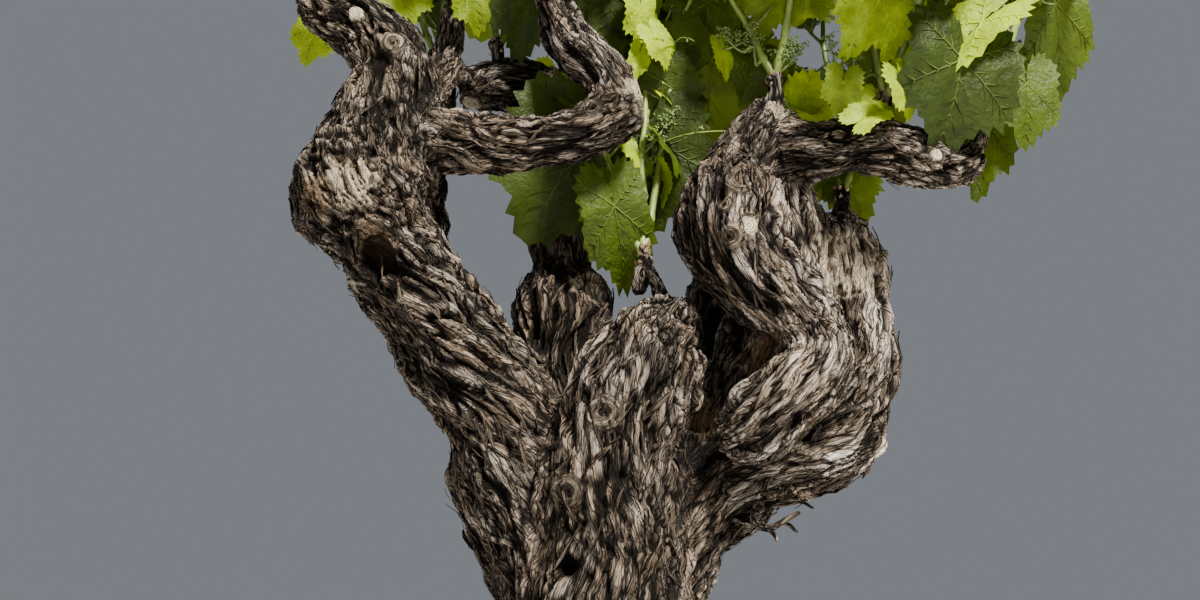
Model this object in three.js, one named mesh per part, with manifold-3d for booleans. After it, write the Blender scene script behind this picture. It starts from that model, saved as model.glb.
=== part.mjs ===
// An old bush-trained grapevine in spring leaf, rooted in level ground.
// Millimetres, +Z up. The origin is the middle of the flat cut at ground level.
// The front view looks along +Y, with +X to its right.
import * as THREE from "three";
import { mergeVertices } from "three/addons/utils/BufferGeometryUtils.js";
import Module from "manifold-3d";

const wasm = await Module();
wasm.setup();

// Driving sizes of the wood
const CLEARANCE = 0.3; // gap between pieces that touch
const WELD = 1e-3; // points nearer than this are one
const FLATNESS = 0.2; // points that change a surface by less than this are dropped
const LIMB_SIDES = 8;
const RING_STEP = 42; // spacing of the rings along a limb
const CAP_LIFTS = [32, 62, 90]; // a rounded end's rings, in degrees from its rim to its middle
const END_BLUNTNESS = 0.7; // how far a rounded end stands out, as a share of its radius
const GNARL = 4; // height of the wood's slow unevenness on a thick limb
const THICK_LIMB = 60; // radius at which the unevenness reaches its full height
const ROOT_COUNT = 6;
const ROOT_REACH = 128;
const GROUND_SIZE = 900; // side of the block whose top cuts the trunk at ground level

// Driving sizes of the shoots and leaves
const STEM_SIDES = 7;
const SHOOT_SIDES = 3;
const SHOOT_RADIUS = 4.6;
const SHOOT_TIP_RADIUS = 1.6;
const LONGEST_INTERNODE = 50;
const SHORTEST_INTERNODE = 20;
const WIDEST_LEAF = 108;
const NARROWEST_LEAF = 34;
const LEAF_THICKNESS = 1.6;
const PETIOLE_RADIUS = 2.4;
const PETIOLE_SINK = 15; // how far a petiole runs on inside its blade
const PETIOLE_DROP = 9; // how far below its node a petiole leaves the shoot
const PETIOLE_SHARE = 0.58; // petiole length over leaf width
const CLUSTER_LENGTH = 62;
const CLUSTER_RADIUS = 7;
const CLUSTER_TIP_RADIUS = 2;
const CLUSTER_SIDES = 4;
const CLUSTER_NODE = 2; // a shoot bears its flower cluster at this node, counted from 0
const CLUSTER_SPREAD = 0.55; // how far a cluster's tip stands away from the shoot, as a share of its length
const CLUSTER_LIFT = 0.8; // how far it stands up
const FOOT_STEP = 0.3; // spacing of the shoots' feet on their stem, as a share of its length
const LEAF_TO_LIMB = 5; // clear distance that a leaf keeps from the wood
const SPACE_MARGIN = 3; // clear distance that a mass keeps from its neighbours' space
const CROWDING = 0.56; // leaves of one mass stand at least this share of their width apart
const LEAF_TRIES = 4; // a leaf that has no room is turned anew, this often in all
const HEIGHT_SHARE = 0.35; // how much height counts beside breadth where masses share out the space
const LEAST_BEND = 0.1; // least sideways turn of a shoot at a node
const LIGHT_SEEKING = 0.06; // upward turn of a shoot at a node
const BALL_SPACING = 12; // spacing of the balls that stand for the wood where a leaf asks how near it is

// How far chance spreads an internode's length and a leaf's width, as shares
const LEAST_LENGTH = 0.85;
const LENGTH_RANGE = 0.3;
const LEAST_WIDTH = 0.84;
const WIDTH_RANGE = 0.26;

// How a leaf hangs: petiole's rise and blade's droop in degrees, blade's turns in radians
const LEAST_RISE = 25;
const RISE_RANGE = 40;
const LEAST_DROOP = 28;
const DROOP_RANGE = 50;
const YAW_RANGE = 0.9;
const TILT_RANGE = 1;

// Half of a leaf's outline: degrees from the tip, and reach in midrib lengths
const LEAF_OUTLINE = [
  [0, 1.0],
  [60, 0.84],
  [130, 0.68],
];
const MIDRIB_SHARE = 0.66; // midrib length over leaf width
const LEAF_MIDDLE = 0.3; // how far along its midrib a leaf's middle lies, as a share of its width

// Stations of the trunk's fused columns: x, y, z, radius
const TRUNK_COLUMNS = [
  [[0, 0, -60, 112], [0, 0, 40, 102], [-1, 0, 130, 95], [1, 2, 220, 93], [8, 8, 300, 90], [10, 14, 345, 64]],
  [[-22, 0, 150, 62], [-52, 4, 230, 66], [-88, 10, 305, 63], [-100, 10, 350, 48]],
  [[28, 8, 140, 58], [52, 14, 220, 58], [90, 26, 285, 56], [112, 34, 316, 46]],
  [[-6, 58, 120, 44], [-14, 70, 220, 46], [-16, 68, 310, 40]],
];

// Every limb's stations (x, y, z, radius), in the order in which one gives way to those before it,
// and its burls and hollows (place, reach, height; a hollow has a negative height)
const LIMBS = {
  left_arm: {
    stations: [[-69, 5, 315, 58], [-117, 0, 391, 58], [-167, -6, 467, 54], [-208, -14, 530, 56],
      [-231, -20, 578, 72], [-223, -18, 639, 61], [-204, -8, 700, 45]],
    burls: [[[-262, -66, 600], 24, 9], [[-258, -78, 592], 13, -10], [[-215, -72, 512], 15, -16],
      [[-300, -20, 585], 26, 8]],
  },
  left_arm_top: {
    stations: [[-201, -8, 704, 40], [-229, -4, 752, 37], [-266, 4, 783, 36], [-294, 12, 806, 31]],
    burls: [[[-212, -44, 742], 13, 9], [[-246, -34, 790], 12, 5]],
  },
  left_branch: {
    stations: [[-177, -18, 643, 34], [-120, -30, 634, 30], [-70, -38, 631, 28], [-20, -40, 641, 28],
      [18, -34, 666, 29]],
    burls: [[[36, -40, 676], 15, 5]],
  },
  left_riser: {
    stations: [[18, -32, 673, 29], [2, -22, 708, 27], [-27, -8, 743, 28], [-42, 4, 783, 24],
      [-49, 14, 819, 19]],
    burls: [],
  },
  left_rear_spur: {
    stations: [[-182, 14, 699, 21], [-165, 44, 741, 18], [-160, 56, 784, 15], [-158, 62, 816, 13]],
    burls: [],
  },
  central_stump: {
    stations: [[6, -34, 240, 60], [8, -40, 306, 57], [27, -38, 369, 60], [53, -34, 421, 56],
      [67, -30, 448, 36]],
    burls: [[[6, -96, 374], 14, 10], [[-34, -82, 292], 12, 9]],
  },
  rear_left_arm: {
    stations: [[-70, 60, 300, 48], [-130, 122, 400, 44], [-186, 190, 520, 40], [-216, 240, 640, 38],
      [-206, 262, 740, 33], [-196, 262, 800, 26]],
    burls: [[[-230, 260, 640], 22, 8]],
  },
  middle_arm: {
    stations: [[-56, 46, 322, 48], [-50, 62, 418, 49], [-40, 74, 482, 53], [-42, 80, 508, 44]],
    burls: [[[-20, 28, 500], 20, 6]],
  },
  middle_riser: {
    stations: [[-44, 84, 508, 35], [-44, 92, 582, 33], [-37, 100, 651, 31], [-44, 102, 712, 29],
      [-57, 98, 740, 26]],
    burls: [],
  },
  middle_fork: {
    stations: [[-48, 98, 733, 27], [-87, 92, 738, 30], [-119, 80, 734, 29], [-138, 68, 727, 23]],
    burls: [],
  },
  right_arm: {
    stations: [[80, 26, 270, 50], [166, 45, 330, 58], [230, 55, 372, 61], [257, 58, 424, 48],
      [259, 60, 477, 41], [259, 60, 525, 42], [249, 58, 558, 38]],
    burls: [[[262, 36, 352], 18, 14], [[300, 50, 412], 22, 8], [[236, 20, 560], 16, 6],
      [[236, 28, 314], 20, 14]],
  },
  twist_lower: {
    stations: [[212, -28, 436, 36], [206, -42, 404, 36], [178, -50, 374, 38], [152, -48, 350, 37],
      [132, -38, 338, 28]],
    burls: [],
  },
  twist_upper: {
    stations: [[143, -14, 616, 38], [132, -34, 569, 53], [137, -44, 519, 54], [168, -42, 478, 45],
      [203, -32, 446, 38]],
    burls: [[[140, -90, 592], 15, 7], [[124, -90, 540], 13, 6], [[150, -94, 552], 11, 5]],
  },
  twist_core: {
    stations: [[108, 34, 330, 40], [146, 36, 400, 46], [180, 34, 478, 46], [194, 30, 545, 42],
      [186, 24, 592, 34]],
    burls: [],
  },
  right_stub: {
    stations: [[145, -12, 614, 37], [159, -4, 644, 33], [176, 4, 672, 25]],
    burls: [],
  },
  right_branch: {
    stations: [[158, 2, 637, 30], [208, -6, 637, 31], [255, -14, 635, 29], [302, -20, 628, 32],
      [340, -16, 615, 26], [369, -6, 621, 20], [383, 3, 637, 13]],
    burls: [[[286, -46, 650], 12, 5]],
  },
  rear_right_arm: {
    stations: [[62, 62, 290, 52], [104, 128, 396, 47], [142, 196, 510, 44], [158, 246, 604, 40],
      [150, 268, 686, 30]],
    burls: [[[176, 268, 600], 22, 8]],
  },
  central_spur: {
    stations: [[66, -18, 462, 12], [58, -6, 492, 8], [40, 6, 512, 7]],
    burls: [],
  },
  dead_twig: {
    stations: [[128, 16, 262, 6], [162, -2, 270, 5], [200, -8, 264, 3.5]],
    burls: [],
  },
};

// Every mass of foliage: the hearts of its own space, the seed of its rule, its stem's two ends with
// their radii, and its shoots, each with its lean, its greatest number of leaves and the turn of its
// leaves in degrees
const MASSES = {
  left_tip_foliage: {
    hearts: [[-345, -10, 940]],
    seed: 28,
    stem: [[-291, 10, 802, 12], [-303, 12, 846, 9]],
    shoots: [[[-0.5, -0.1, 1], 9, 15], [[0, 0.2, 1], 9, 105]],
  },
  left_neck_foliage: {
    hearts: [[-175, 20, 920]],
    seed: 21,
    stem: [[-158, 62, 808, 10], [-161, 60, 842, 8]],
    shoots: [[[-0.1, -0.3, 1], 9, 75], [[0.1, 0.1, 1], 9, 165]],
  },
  rear_left_foliage: {
    hearts: [[-230, 330, 915]],
    seed: 33,
    stem: [[-196, 262, 792, 12], [-199, 266, 840, 9]],
    shoots: [[[-0.4, 0.1, 1], 9, 45], [[0, 0.5, 1], 9, 135]],
  },
  riser_foliage: {
    hearts: [[-15, -55, 950]],
    seed: 40,
    stem: [[-49, 14, 812, 11], [-48, 13, 852, 8]],
    shoots: [[[-0.1, -0.3, 1], 9, 165], [[0.3, 0, 1], 9, 105]],
  },
  fork_foliage: {
    hearts: [[-100, 185, 850]],
    seed: 31,
    stem: [[-112, 84, 744, 10], [-114, 96, 790, 8]],
    shoots: [[[-0.1, 0.3, 1], 9, 75], [[0.2, 0.4, 1], 9, 165]],
  },
  centre_foliage: {
    hearts: [[30, 165, 850]],
    seed: 66,
    stem: [[-40, 104, 728, 11], [-16, 116, 772, 8]],
    shoots: [[[0.4, 0.2, 1], 9, 75], [[0.1, 0.4, 1], 9, 165]],
  },
  middle_foliage: {
    hearts: [[20, 20, 585], [62, 30, 715]],
    seed: 75,
    stem: [[41, 5, 506, 7], [44, 9, 536, 6]],
    shoots: [[[0, 0.2, 1], 10, 30], [[-0.3, 0.1, 1], 7, 0], [[0.2, 0.4, 1], 9, 90]],
  },
  stub_foliage: {
    hearts: [[165, -30, 790]],
    seed: 75,
    stem: [[177, 4, 680, 11], [180, 2, 716, 8]],
    shoots: [[[-0.5, 0, 1], 9, 15], [[0.3, -0.1, 1], 9, 60]],
  },
  right_crown_foliage: {
    hearts: [[308, -65, 755]],
    seed: 32,
    stem: [[284, -16, 650, 11], [288, -20, 688, 8]],
    shoots: [[[-0.2, -0.2, 1], 9, 75], [[0.3, -0.4, 1], 9, 120], [[0.5, 0, 1], 8, 165]],
  },
  right_tip_foliage: {
    hearts: [[435, 35, 745]],
    seed: 58,
    stem: [[382, 3, 636, 9], [391, 5, 668, 7]],
    shoots: [[[0.4, -0.1, 1], 9, 165], [[0.1, 0.5, 1], 9, 75]],
  },
  rear_right_foliage: {
    hearts: [[150, 350, 810]],
    seed: 96,
    stem: [[150, 268, 692, 12], [151, 272, 738, 9]],
    shoots: [[[-0.2, 0.4, 1], 9, 0], [[0.3, 0.3, 1], 9, 75]],
  },
  right_shoulder_foliage: {
    hearts: [[290, 190, 680]],
    seed: 63,
    stem: [[252, 64, 572, 11], [257, 74, 616, 8]],
    shoots: [[[0.1, 0.5, 1], 9, 15], [[0.4, 0.3, 1], 8, 90]],
  },
};

const BARK = new THREE.MeshStandardMaterial({ color: 0x867a6b, roughness: 0.95, metalness: 0 });
const CANE = new THREE.MeshStandardMaterial({ color: 0x6f5138, roughness: 0.85, metalness: 0 });
const LEAF = new THREE.MeshStandardMaterial({
  color: 0x8fae22,
  roughness: 0.55,
  metalness: 0,
  side: THREE.DoubleSide,
});

const vector = (p) => new THREE.Vector3(p[0], p[1], p[2]);
const UP = vector([0, 0, 1]);

// Seeded random numbers from 0 to 1
function dice(seed) {
  let state = seed >>> 0;
  return () => {
    state = (Math.imul(state, 1664525) + 1013904223) >>> 0;
    return state / 4294967296;
  };
}

// A geometry as a solid, with its faces turned out
function solidOf(geometry) {
  const bare = new THREE.BufferGeometry();
  bare.setAttribute("position", geometry.getAttribute("position"));
  bare.setIndex(geometry.index);
  const merged = mergeVertices(bare, WELD);
  const vertProperties = merged.attributes.position.array;
  const build = (triVerts) =>
    new wasm.Manifold(new wasm.Mesh({ numProp: 3, vertProperties, triVerts }));
  const made = build(new Uint32Array(merged.index.array));
  return made.volume() > 0 ? made : build(new Uint32Array(merged.index.array).reverse());
}

function geometryOf(solid) {
  const { vertProperties, triVerts } = solid.getMesh();
  const geometry = new THREE.BufferGeometry();
  geometry.setAttribute("position", new THREE.BufferAttribute(new Float32Array(vertProperties), 3));
  geometry.setIndex(new THREE.BufferAttribute(new Uint32Array(triVerts), 1));
  return geometry;
}

// A solid's largest body, without the scraps that a cut leaves loose
const mainBody = (solid) => solid.decompose().sort((a, b) => b.volume() - a.volume())[0];

// A named mesh from a solid. A second pass drops what comes loose as near points are welded.
function meshOf(name, solid, material) {
  const plain = mainBody(solid).asOriginal().simplify(FLATNESS);
  const body = mainBody(solidOf(geometryOf(plain)).simplify(FLATNESS));
  const geometry = geometryOf(body);
  geometry.computeVertexNormals();
  const mesh = new THREE.Mesh(geometry, material);
  mesh.name = name;
  return mesh;
}

// The centre line and the radius along a row of stations
function lineOf(stations) {
  const sizes = stations.map((s) => vector([s[3], 0, 0]));
  const centre = new THREE.CatmullRomCurve3(stations.map(vector), false, "catmullrom", 0.5);
  const size = new THREE.CatmullRomCurve3(sizes, false, "catmullrom", 0.5);
  return { centre, radius: (t) => size.getPoint(t).x };
}

// How far the wood stands out at a place, from slow waves that run round and along the limbs
function unevenness([x, y, z]) {
  const wave = Math.sin(x / 17 + 1.6 * Math.sin(z / 41));
  const cross = Math.sin(y / 15 + 1.3 * Math.sin(z / 33 + 1));
  return (GNARL * (wave + cross)) / 2;
}

function swelling(place, radius, burls) {
  const lump = burls.reduce((sum, [at, reach, height]) => {
    const gap = place.distanceTo(vector(at));
    return sum + height * Math.exp(-(gap * gap) / (2 * reach * reach));
  }, 0);
  return lump + unevenness(place.toArray()) * Math.min(1, radius / THICK_LIMB);
}

// A tapering limb with rounded ends: a lathe's rings, set square to the centre line one after the other.
// A thick limb's rings are evenly spaced, a shoot's are at its stations, and its ends are points.
function limbSolid({ stations, burls = [] }, { sides = LIMB_SIDES, grow = 0, isShoot = false } = {}) {
  const { centre, radius } = lineOf(stations);
  const count = isShoot ? stations.length : Math.max(3, Math.round(centre.getLength() / RING_STEP) + 1);
  const bands = Array.from({ length: count }, (_, i) => {
    const share = i / (count - 1);
    return { t: isShoot ? share : centre.getUtoTmapping(share), lift: 0 };
  });
  const lifts = isShoot ? [90] : CAP_LIFTS;
  const rings = [
    ...lifts.map((lift) => ({ ...bands[0], lift: -lift })).reverse(),
    ...bands,
    ...lifts.map((lift) => ({ ...bands[count - 1], lift })),
  ];
  const profile = rings.map((ring, i) => new THREE.Vector2(Math.abs(ring.lift) === 90 ? 0 : 1, i));
  const geometry = new THREE.LatheGeometry(profile, sides);
  const position = geometry.getAttribute("position");
  let across = vector([0, -1, 0]);
  rings.forEach((ring, row) => {
    const along = centre.getTangent(ring.t);
    across = across.clone().addScaledVector(along, -across.dot(along)).normalize();
    const around = along.clone().cross(across);
    const lift = THREE.MathUtils.degToRad(ring.lift);
    const size = radius(ring.t) + grow;
    for (let i = 0; i <= sides; i += 1) {
      const turn = (2 * Math.PI * (i % sides)) / sides;
      const out = across.clone().multiplyScalar(Math.cos(turn)).addScaledVector(around, Math.sin(turn));
      const reach = Math.abs(ring.lift) === 90 ? 0 : Math.cos(lift);
      const place = centre.getPoint(ring.t).addScaledVector(out, size * reach);
      place.addScaledVector(along, size * Math.sin(lift) * END_BLUNTNESS);
      const extra = isShoot ? 0 : swelling(place, size, burls);
      place.addScaledVector(out, extra * reach).addScaledVector(along, extra * Math.sin(lift));
      position.setXYZ(i * rings.length + row, place.x, place.y, place.z);
    }
  });
  return solidOf(geometry);
}

// A straight spike from one place to another, three-sided
function spikeSolid(from, to, radius) {
  const along = to.clone().sub(from);
  const geometry = new THREE.ConeGeometry(radius, along.length(), 3);
  const turn = new THREE.Quaternion().setFromUnitVectors(vector([0, 1, 0]), along.clone().normalize());
  geometry.applyQuaternion(turn);
  geometry.translate(...from.clone().add(to).multiplyScalar(0.5).toArray());
  return solidOf(geometry);
}

// Roots that flare from the foot of the trunk and end in the ground
function rootStations() {
  return Array.from({ length: ROOT_COUNT }, (_, i) => {
    const turn = ((i + 0.35 + 0.16 * Math.sin(5 * i)) * 2 * Math.PI) / ROOT_COUNT;
    const reach = ROOT_REACH * (1 + 0.12 * Math.sin(3 * i + 1));
    const away = vector([reach * Math.cos(turn), reach * Math.sin(turn), 0]);
    const at = (share, z, radius) => [share * away.x, share * away.y, z, radius];
    return [at(0.45, 140, 34), at(0.66, 70, 38), at(0.86, 20, 36), at(1.05, -30, 34)];
  });
}

function trunkSolid(grow) {
  const columns = [...TRUNK_COLUMNS, ...rootStations()].map((stations) => limbSolid({ stations }, { grow }));
  const fused = wasm.Manifold.union(columns);
  const ground = new THREE.BoxGeometry(GROUND_SIZE, GROUND_SIZE, GROUND_SIZE);
  ground.translate(0, 0, -GROUND_SIZE / 2);
  return fused.subtract(solidOf(ground));
}

// The wood as a row of balls along each limb
const woodBalls = Object.values(LIMBS).flatMap(({ stations }) => {
  const { centre, radius } = lineOf(stations);
  const count = Math.round(centre.getLength() / BALL_SPACING);
  return Array.from({ length: count + 1 }, (_, i) => ({
    centre: centre.getPoint(i / count),
    radius: radius(i / count) + GNARL / 2,
  }));
});
const woodGap = (place) => Math.min(...woodBalls.map((ball) => ball.centre.distanceTo(place) - ball.radius));

// How far a place is from a mass's nearest heart. Height counts for less, so that the spaces are columns.
const heartGap = (place, name) =>
  Math.min(...MASSES[name].hearts.map(([x, y, z]) =>
    Math.hypot(place.x - x, place.y - y, HEIGHT_SHARE * (place.z - z))));

// True where a place is nearer to its own mass's hearts than to any other's
function inOwnSpace(place, name) {
  const furthest = heartGap(place, name) + 2 * SPACE_MARGIN;
  return Object.keys(MASSES).every((other) => other === name || heartGap(place, other) > furthest);
}

// Leaf width and internode length at a share of the shoot's length: both rise and then fall towards the tip
function leafWidth(share) {
  const swell = Math.sin(Math.PI * Math.min(1, 0.28 + 0.72 * share)) ** 0.8;
  return NARROWEST_LEAF + (WIDEST_LEAF - NARROWEST_LEAF) * swell;
}

function internode(share) {
  return SHORTEST_INTERNODE + (LONGEST_INTERNODE - SHORTEST_INTERNODE) * Math.sin(Math.PI * share);
}

// A leaf's own axes: across, along its midrib, and square to its upper face
function leafAxes(outward, droop, yaw, tilt) {
  const midrib = outward.clone().multiplyScalar(Math.cos(droop)).addScaledVector(UP, -Math.sin(droop));
  midrib.applyAxisAngle(UP, yaw);
  const face = outward.clone().multiplyScalar(Math.sin(droop)).addScaledVector(UP, Math.cos(droop));
  face.applyAxisAngle(UP, yaw).applyAxisAngle(midrib, tilt);
  return { across: midrib.clone().cross(face), midrib, face };
}

function outlinePlace(leaf, [degrees, reach], hand) {
  const turn = THREE.MathUtils.degToRad(degrees) * hand;
  const midribLength = leaf.width * MIDRIB_SHARE;
  return leaf.foot
    .clone()
    .addScaledVector(leaf.axes.across, Math.sin(turn) * reach * midribLength)
    .addScaledVector(leaf.axes.midrib, Math.cos(turn) * reach * midribLength);
}

// One leaf at a node, as the dice turn it
function turnLeaf(node, sideways, hand, width, attempt, roll) {
  const outward = sideways.clone().multiplyScalar(hand).applyAxisAngle(UP, (roll() - 0.5) * attempt);
  const rise = THREE.MathUtils.degToRad(LEAST_RISE + RISE_RANGE * roll());
  const droop = THREE.MathUtils.degToRad(LEAST_DROOP + DROOP_RANGE * roll());
  const yaw = (roll() - 0.5) * YAW_RANGE;
  const tilt = (roll() - 0.5) * TILT_RANGE;
  const stalk = outward.clone().multiplyScalar(Math.cos(rise)).addScaledVector(UP, Math.sin(rise));
  const foot = node.clone().addScaledVector(stalk, width * PETIOLE_SHARE);
  return { foot, width, outward, axes: leafAxes(outward, droop, yaw, tilt) };
}

// Grows one shoot by the seeded rule: its line, its leaves and its flower cluster
function growShoot(name, foot, [lean, leafCount, turnDegrees], roll, grown) {
  const shoot = { line: [foot], leaves: [], clusters: [] };
  const way = vector(lean).normalize();
  const turn = THREE.MathUtils.degToRad(turnDegrees);
  const sideways = vector([Math.cos(turn), Math.sin(turn), 0]);
  for (let k = 0; k < leafCount; k += 1) {
    const share = (k + 0.5) / leafCount;
    const hand = k % 2 ? 1 : -1;
    const length = internode(share) * (LEAST_LENGTH + LENGTH_RANGE * roll());
    const bend = LEAST_BEND * (1 + roll());
    const width = leafWidth(share) * (LEAST_WIDTH + WIDTH_RANGE * roll());
    way.addScaledVector(sideways, hand * bend).addScaledVector(UP, LIGHT_SEEKING).normalize();
    const node = shoot.line[shoot.line.length - 1].clone().addScaledVector(way, length);
    if (!inOwnSpace(node, name) || (k > 0 && woodGap(node) < SHOOT_RADIUS + LEAF_TO_LIMB)) break;
    shoot.line.push(node);
    let leaf;
    for (let attempt = 1; attempt <= LEAF_TRIES; attempt += 1) {
      leaf = turnLeaf(node, sideways, hand, width, attempt, roll);
      const heart = leaf.foot.clone().addScaledVector(leaf.axes.midrib, LEAF_MIDDLE * width);
      const rim = LEAF_OUTLINE.flatMap((tip) => [outlinePlace(leaf, tip, 1), outlinePlace(leaf, tip, -1)]);
      const isClear = [leaf.foot, heart, ...rim].every(
        (place) => inOwnSpace(place, name) && woodGap(place) > LEAF_TO_LIMB,
      );
      if (isClear && grown.every((other) => other.distanceTo(heart) > CROWDING * width)) {
        shoot.leaves.push({ ...leaf, root: node.clone().addScaledVector(way, -PETIOLE_DROP) });
        grown.push(heart);
        break;
      }
    }
    if (k === CLUSTER_NODE) {
      const tip = node
        .clone()
        .addScaledVector(leaf.outward, -CLUSTER_SPREAD * CLUSTER_LENGTH)
        .addScaledVector(UP, CLUSTER_LIFT * CLUSTER_LENGTH);
      if (inOwnSpace(tip, name) && woodGap(tip) > CLUSTER_RADIUS) shoot.clusters.push({ node, tip });
    }
  }
  return shoot;
}

function leafSolid(leaf) {
  const midribLength = leaf.width * MIDRIB_SHARE;
  const points = [];
  const add = ([degrees, reach], hand) => {
    const turn = THREE.MathUtils.degToRad(degrees) * hand;
    points.push(new THREE.Vector2(Math.sin(turn), Math.cos(turn)).multiplyScalar(reach * midribLength));
  };
  LEAF_OUTLINE.forEach((entry) => add(entry, -1));
  LEAF_OUTLINE.slice(1).reverse().forEach((entry) => add(entry, 1));
  const blade = { depth: LEAF_THICKNESS, bevelEnabled: false };
  const geometry = new THREE.ExtrudeGeometry(new THREE.Shape(points), blade);
  geometry.translate(0, 0, -LEAF_THICKNESS / 2);
  const { across, midrib, face } = leaf.axes;
  geometry.applyMatrix4(new THREE.Matrix4().makeBasis(across, midrib, face));
  geometry.translate(...leaf.foot.toArray());
  return solidOf(geometry);
}

// A shoot's cane, its leaves on their petioles and its cluster
function shootSolids({ line, leaves, clusters }) {
  const stations = line.map((place, i) => {
    const share = i / (line.length - 1);
    return [...place.toArray(), SHOOT_RADIUS + (SHOOT_TIP_RADIUS - SHOOT_RADIUS) * share];
  });
  const blades = leaves.flatMap((leaf) => [
    spikeSolid(leaf.root, leaf.foot.clone().addScaledVector(leaf.axes.midrib, PETIOLE_SINK), PETIOLE_RADIUS),
    leafSolid(leaf),
  ]);
  const buds = clusters.map(({ node, tip }) => {
    const at = (share, radius) => [...node.clone().lerp(tip, share).toArray(), radius];
    const budStations = [at(0, CLUSTER_TIP_RADIUS), at(0.45, CLUSTER_RADIUS), at(1, CLUSTER_TIP_RADIUS)];
    return limbSolid({ stations: budStations }, { sides: CLUSTER_SIDES, isShoot: true });
  });
  return [limbSolid({ stations }, { sides: SHOOT_SIDES, isShoot: true }), ...blades, ...buds];
}

// A whole mass: its woody stem with the shoots that branch from it
function massSolid(name, { seed, stem, shoots }) {
  const roll = dice(seed);
  const grown = [];
  const [foot, head] = stem.map(vector);
  const canes = shoots.flatMap((shoot, i) =>
    shootSolids(growShoot(name, foot.clone().lerp(head, 1 - FOOT_STEP * i), shoot, roll, grown)));
  const trunklet = limbSolid({ stations: stem }, { sides: STEM_SIDES, isShoot: true });
  return wasm.Manifold.union([trunklet, ...canes]);
}

const vine = new THREE.Group();
const grownWood = [trunkSolid(CLEARANCE)];
vine.add(meshOf("trunk", trunkSolid(0), BARK));
for (const [name, limb] of Object.entries(LIMBS)) {
  const cut = limbSolid(limb).subtract(wasm.Manifold.union(grownWood));
  vine.add(meshOf(name, cut, name.endsWith("twig") ? CANE : BARK));
  grownWood.push(limbSolid(limb, { grow: CLEARANCE }));
}
const allWood = wasm.Manifold.union(grownWood);
for (const [name, mass] of Object.entries(MASSES)) {
  vine.add(meshOf(name, massSolid(name, mass).subtract(allWood), LEAF));
}

export default vine;
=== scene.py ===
"""The looks of an old bush-trained grapevine in spring leaf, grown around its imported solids.

Shapes are worked out in millimetres in the row frame, and turned to metres as objects are made.
"""

import itertools
import math
from functools import partial

import bpy
import numpy as np
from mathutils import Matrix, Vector
from mathutils.bvhtree import BVHTree
from mathutils.kdtree import KDTree


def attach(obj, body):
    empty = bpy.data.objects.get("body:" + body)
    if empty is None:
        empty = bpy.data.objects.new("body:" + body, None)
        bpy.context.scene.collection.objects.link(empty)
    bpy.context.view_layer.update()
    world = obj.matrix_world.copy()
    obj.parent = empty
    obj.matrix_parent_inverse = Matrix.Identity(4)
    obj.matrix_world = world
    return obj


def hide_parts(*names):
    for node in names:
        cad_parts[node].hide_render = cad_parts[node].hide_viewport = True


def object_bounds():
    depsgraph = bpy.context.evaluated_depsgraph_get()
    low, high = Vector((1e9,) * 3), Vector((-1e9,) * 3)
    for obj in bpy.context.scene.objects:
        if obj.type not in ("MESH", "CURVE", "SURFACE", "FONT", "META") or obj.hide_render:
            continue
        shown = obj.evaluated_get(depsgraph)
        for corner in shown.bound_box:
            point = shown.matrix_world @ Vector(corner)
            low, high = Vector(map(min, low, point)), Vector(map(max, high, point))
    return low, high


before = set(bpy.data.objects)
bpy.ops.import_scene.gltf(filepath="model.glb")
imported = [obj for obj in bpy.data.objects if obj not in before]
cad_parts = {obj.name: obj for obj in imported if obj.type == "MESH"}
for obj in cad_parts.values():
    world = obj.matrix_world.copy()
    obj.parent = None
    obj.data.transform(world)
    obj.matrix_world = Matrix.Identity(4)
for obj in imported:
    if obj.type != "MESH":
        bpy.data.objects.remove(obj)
cad_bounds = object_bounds()

MM = 0.001
UP = np.array([0.0, 0.0, 1.0])

# The camera of the photograph
PHOTO_SIZE = (1200, 600)
LENS = 48
SENSOR = 36
CAMERA_PITCH = math.radians(12)
CAMERA_PLACE = (0, -1565, 147.3)
FOCAL_PIXELS = PHOTO_SIZE[0] * LENS / SENSOR

# Driving sizes of the wood, as in the part's source
GNARL = 4
THICK_LIMB = 60
END_BLUNTNESS = 0.7
CAP_LIFTS = (20, 45, 70, 90)
ROOT_COUNT = 6
ROOT_REACH = 128

# Stations of the trunk's fused columns: x, y, z, radius
TRUNK_COLUMNS = [
    [[0, 0, -60, 112], [0, 0, 40, 102], [-1, 0, 130, 95], [1, 2, 220, 93], [8, 8, 300, 90],
     [10, 14, 345, 64]],
    [[-22, 0, 150, 62], [-52, 4, 230, 66], [-88, 10, 305, 63], [-100, 10, 350, 48]],
    [[28, 8, 140, 58], [52, 14, 220, 58], [90, 26, 285, 56], [112, 34, 316, 46]],
    [[-6, 58, 120, 44], [-14, 70, 220, 46], [-16, 68, 310, 40]],
]

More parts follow.
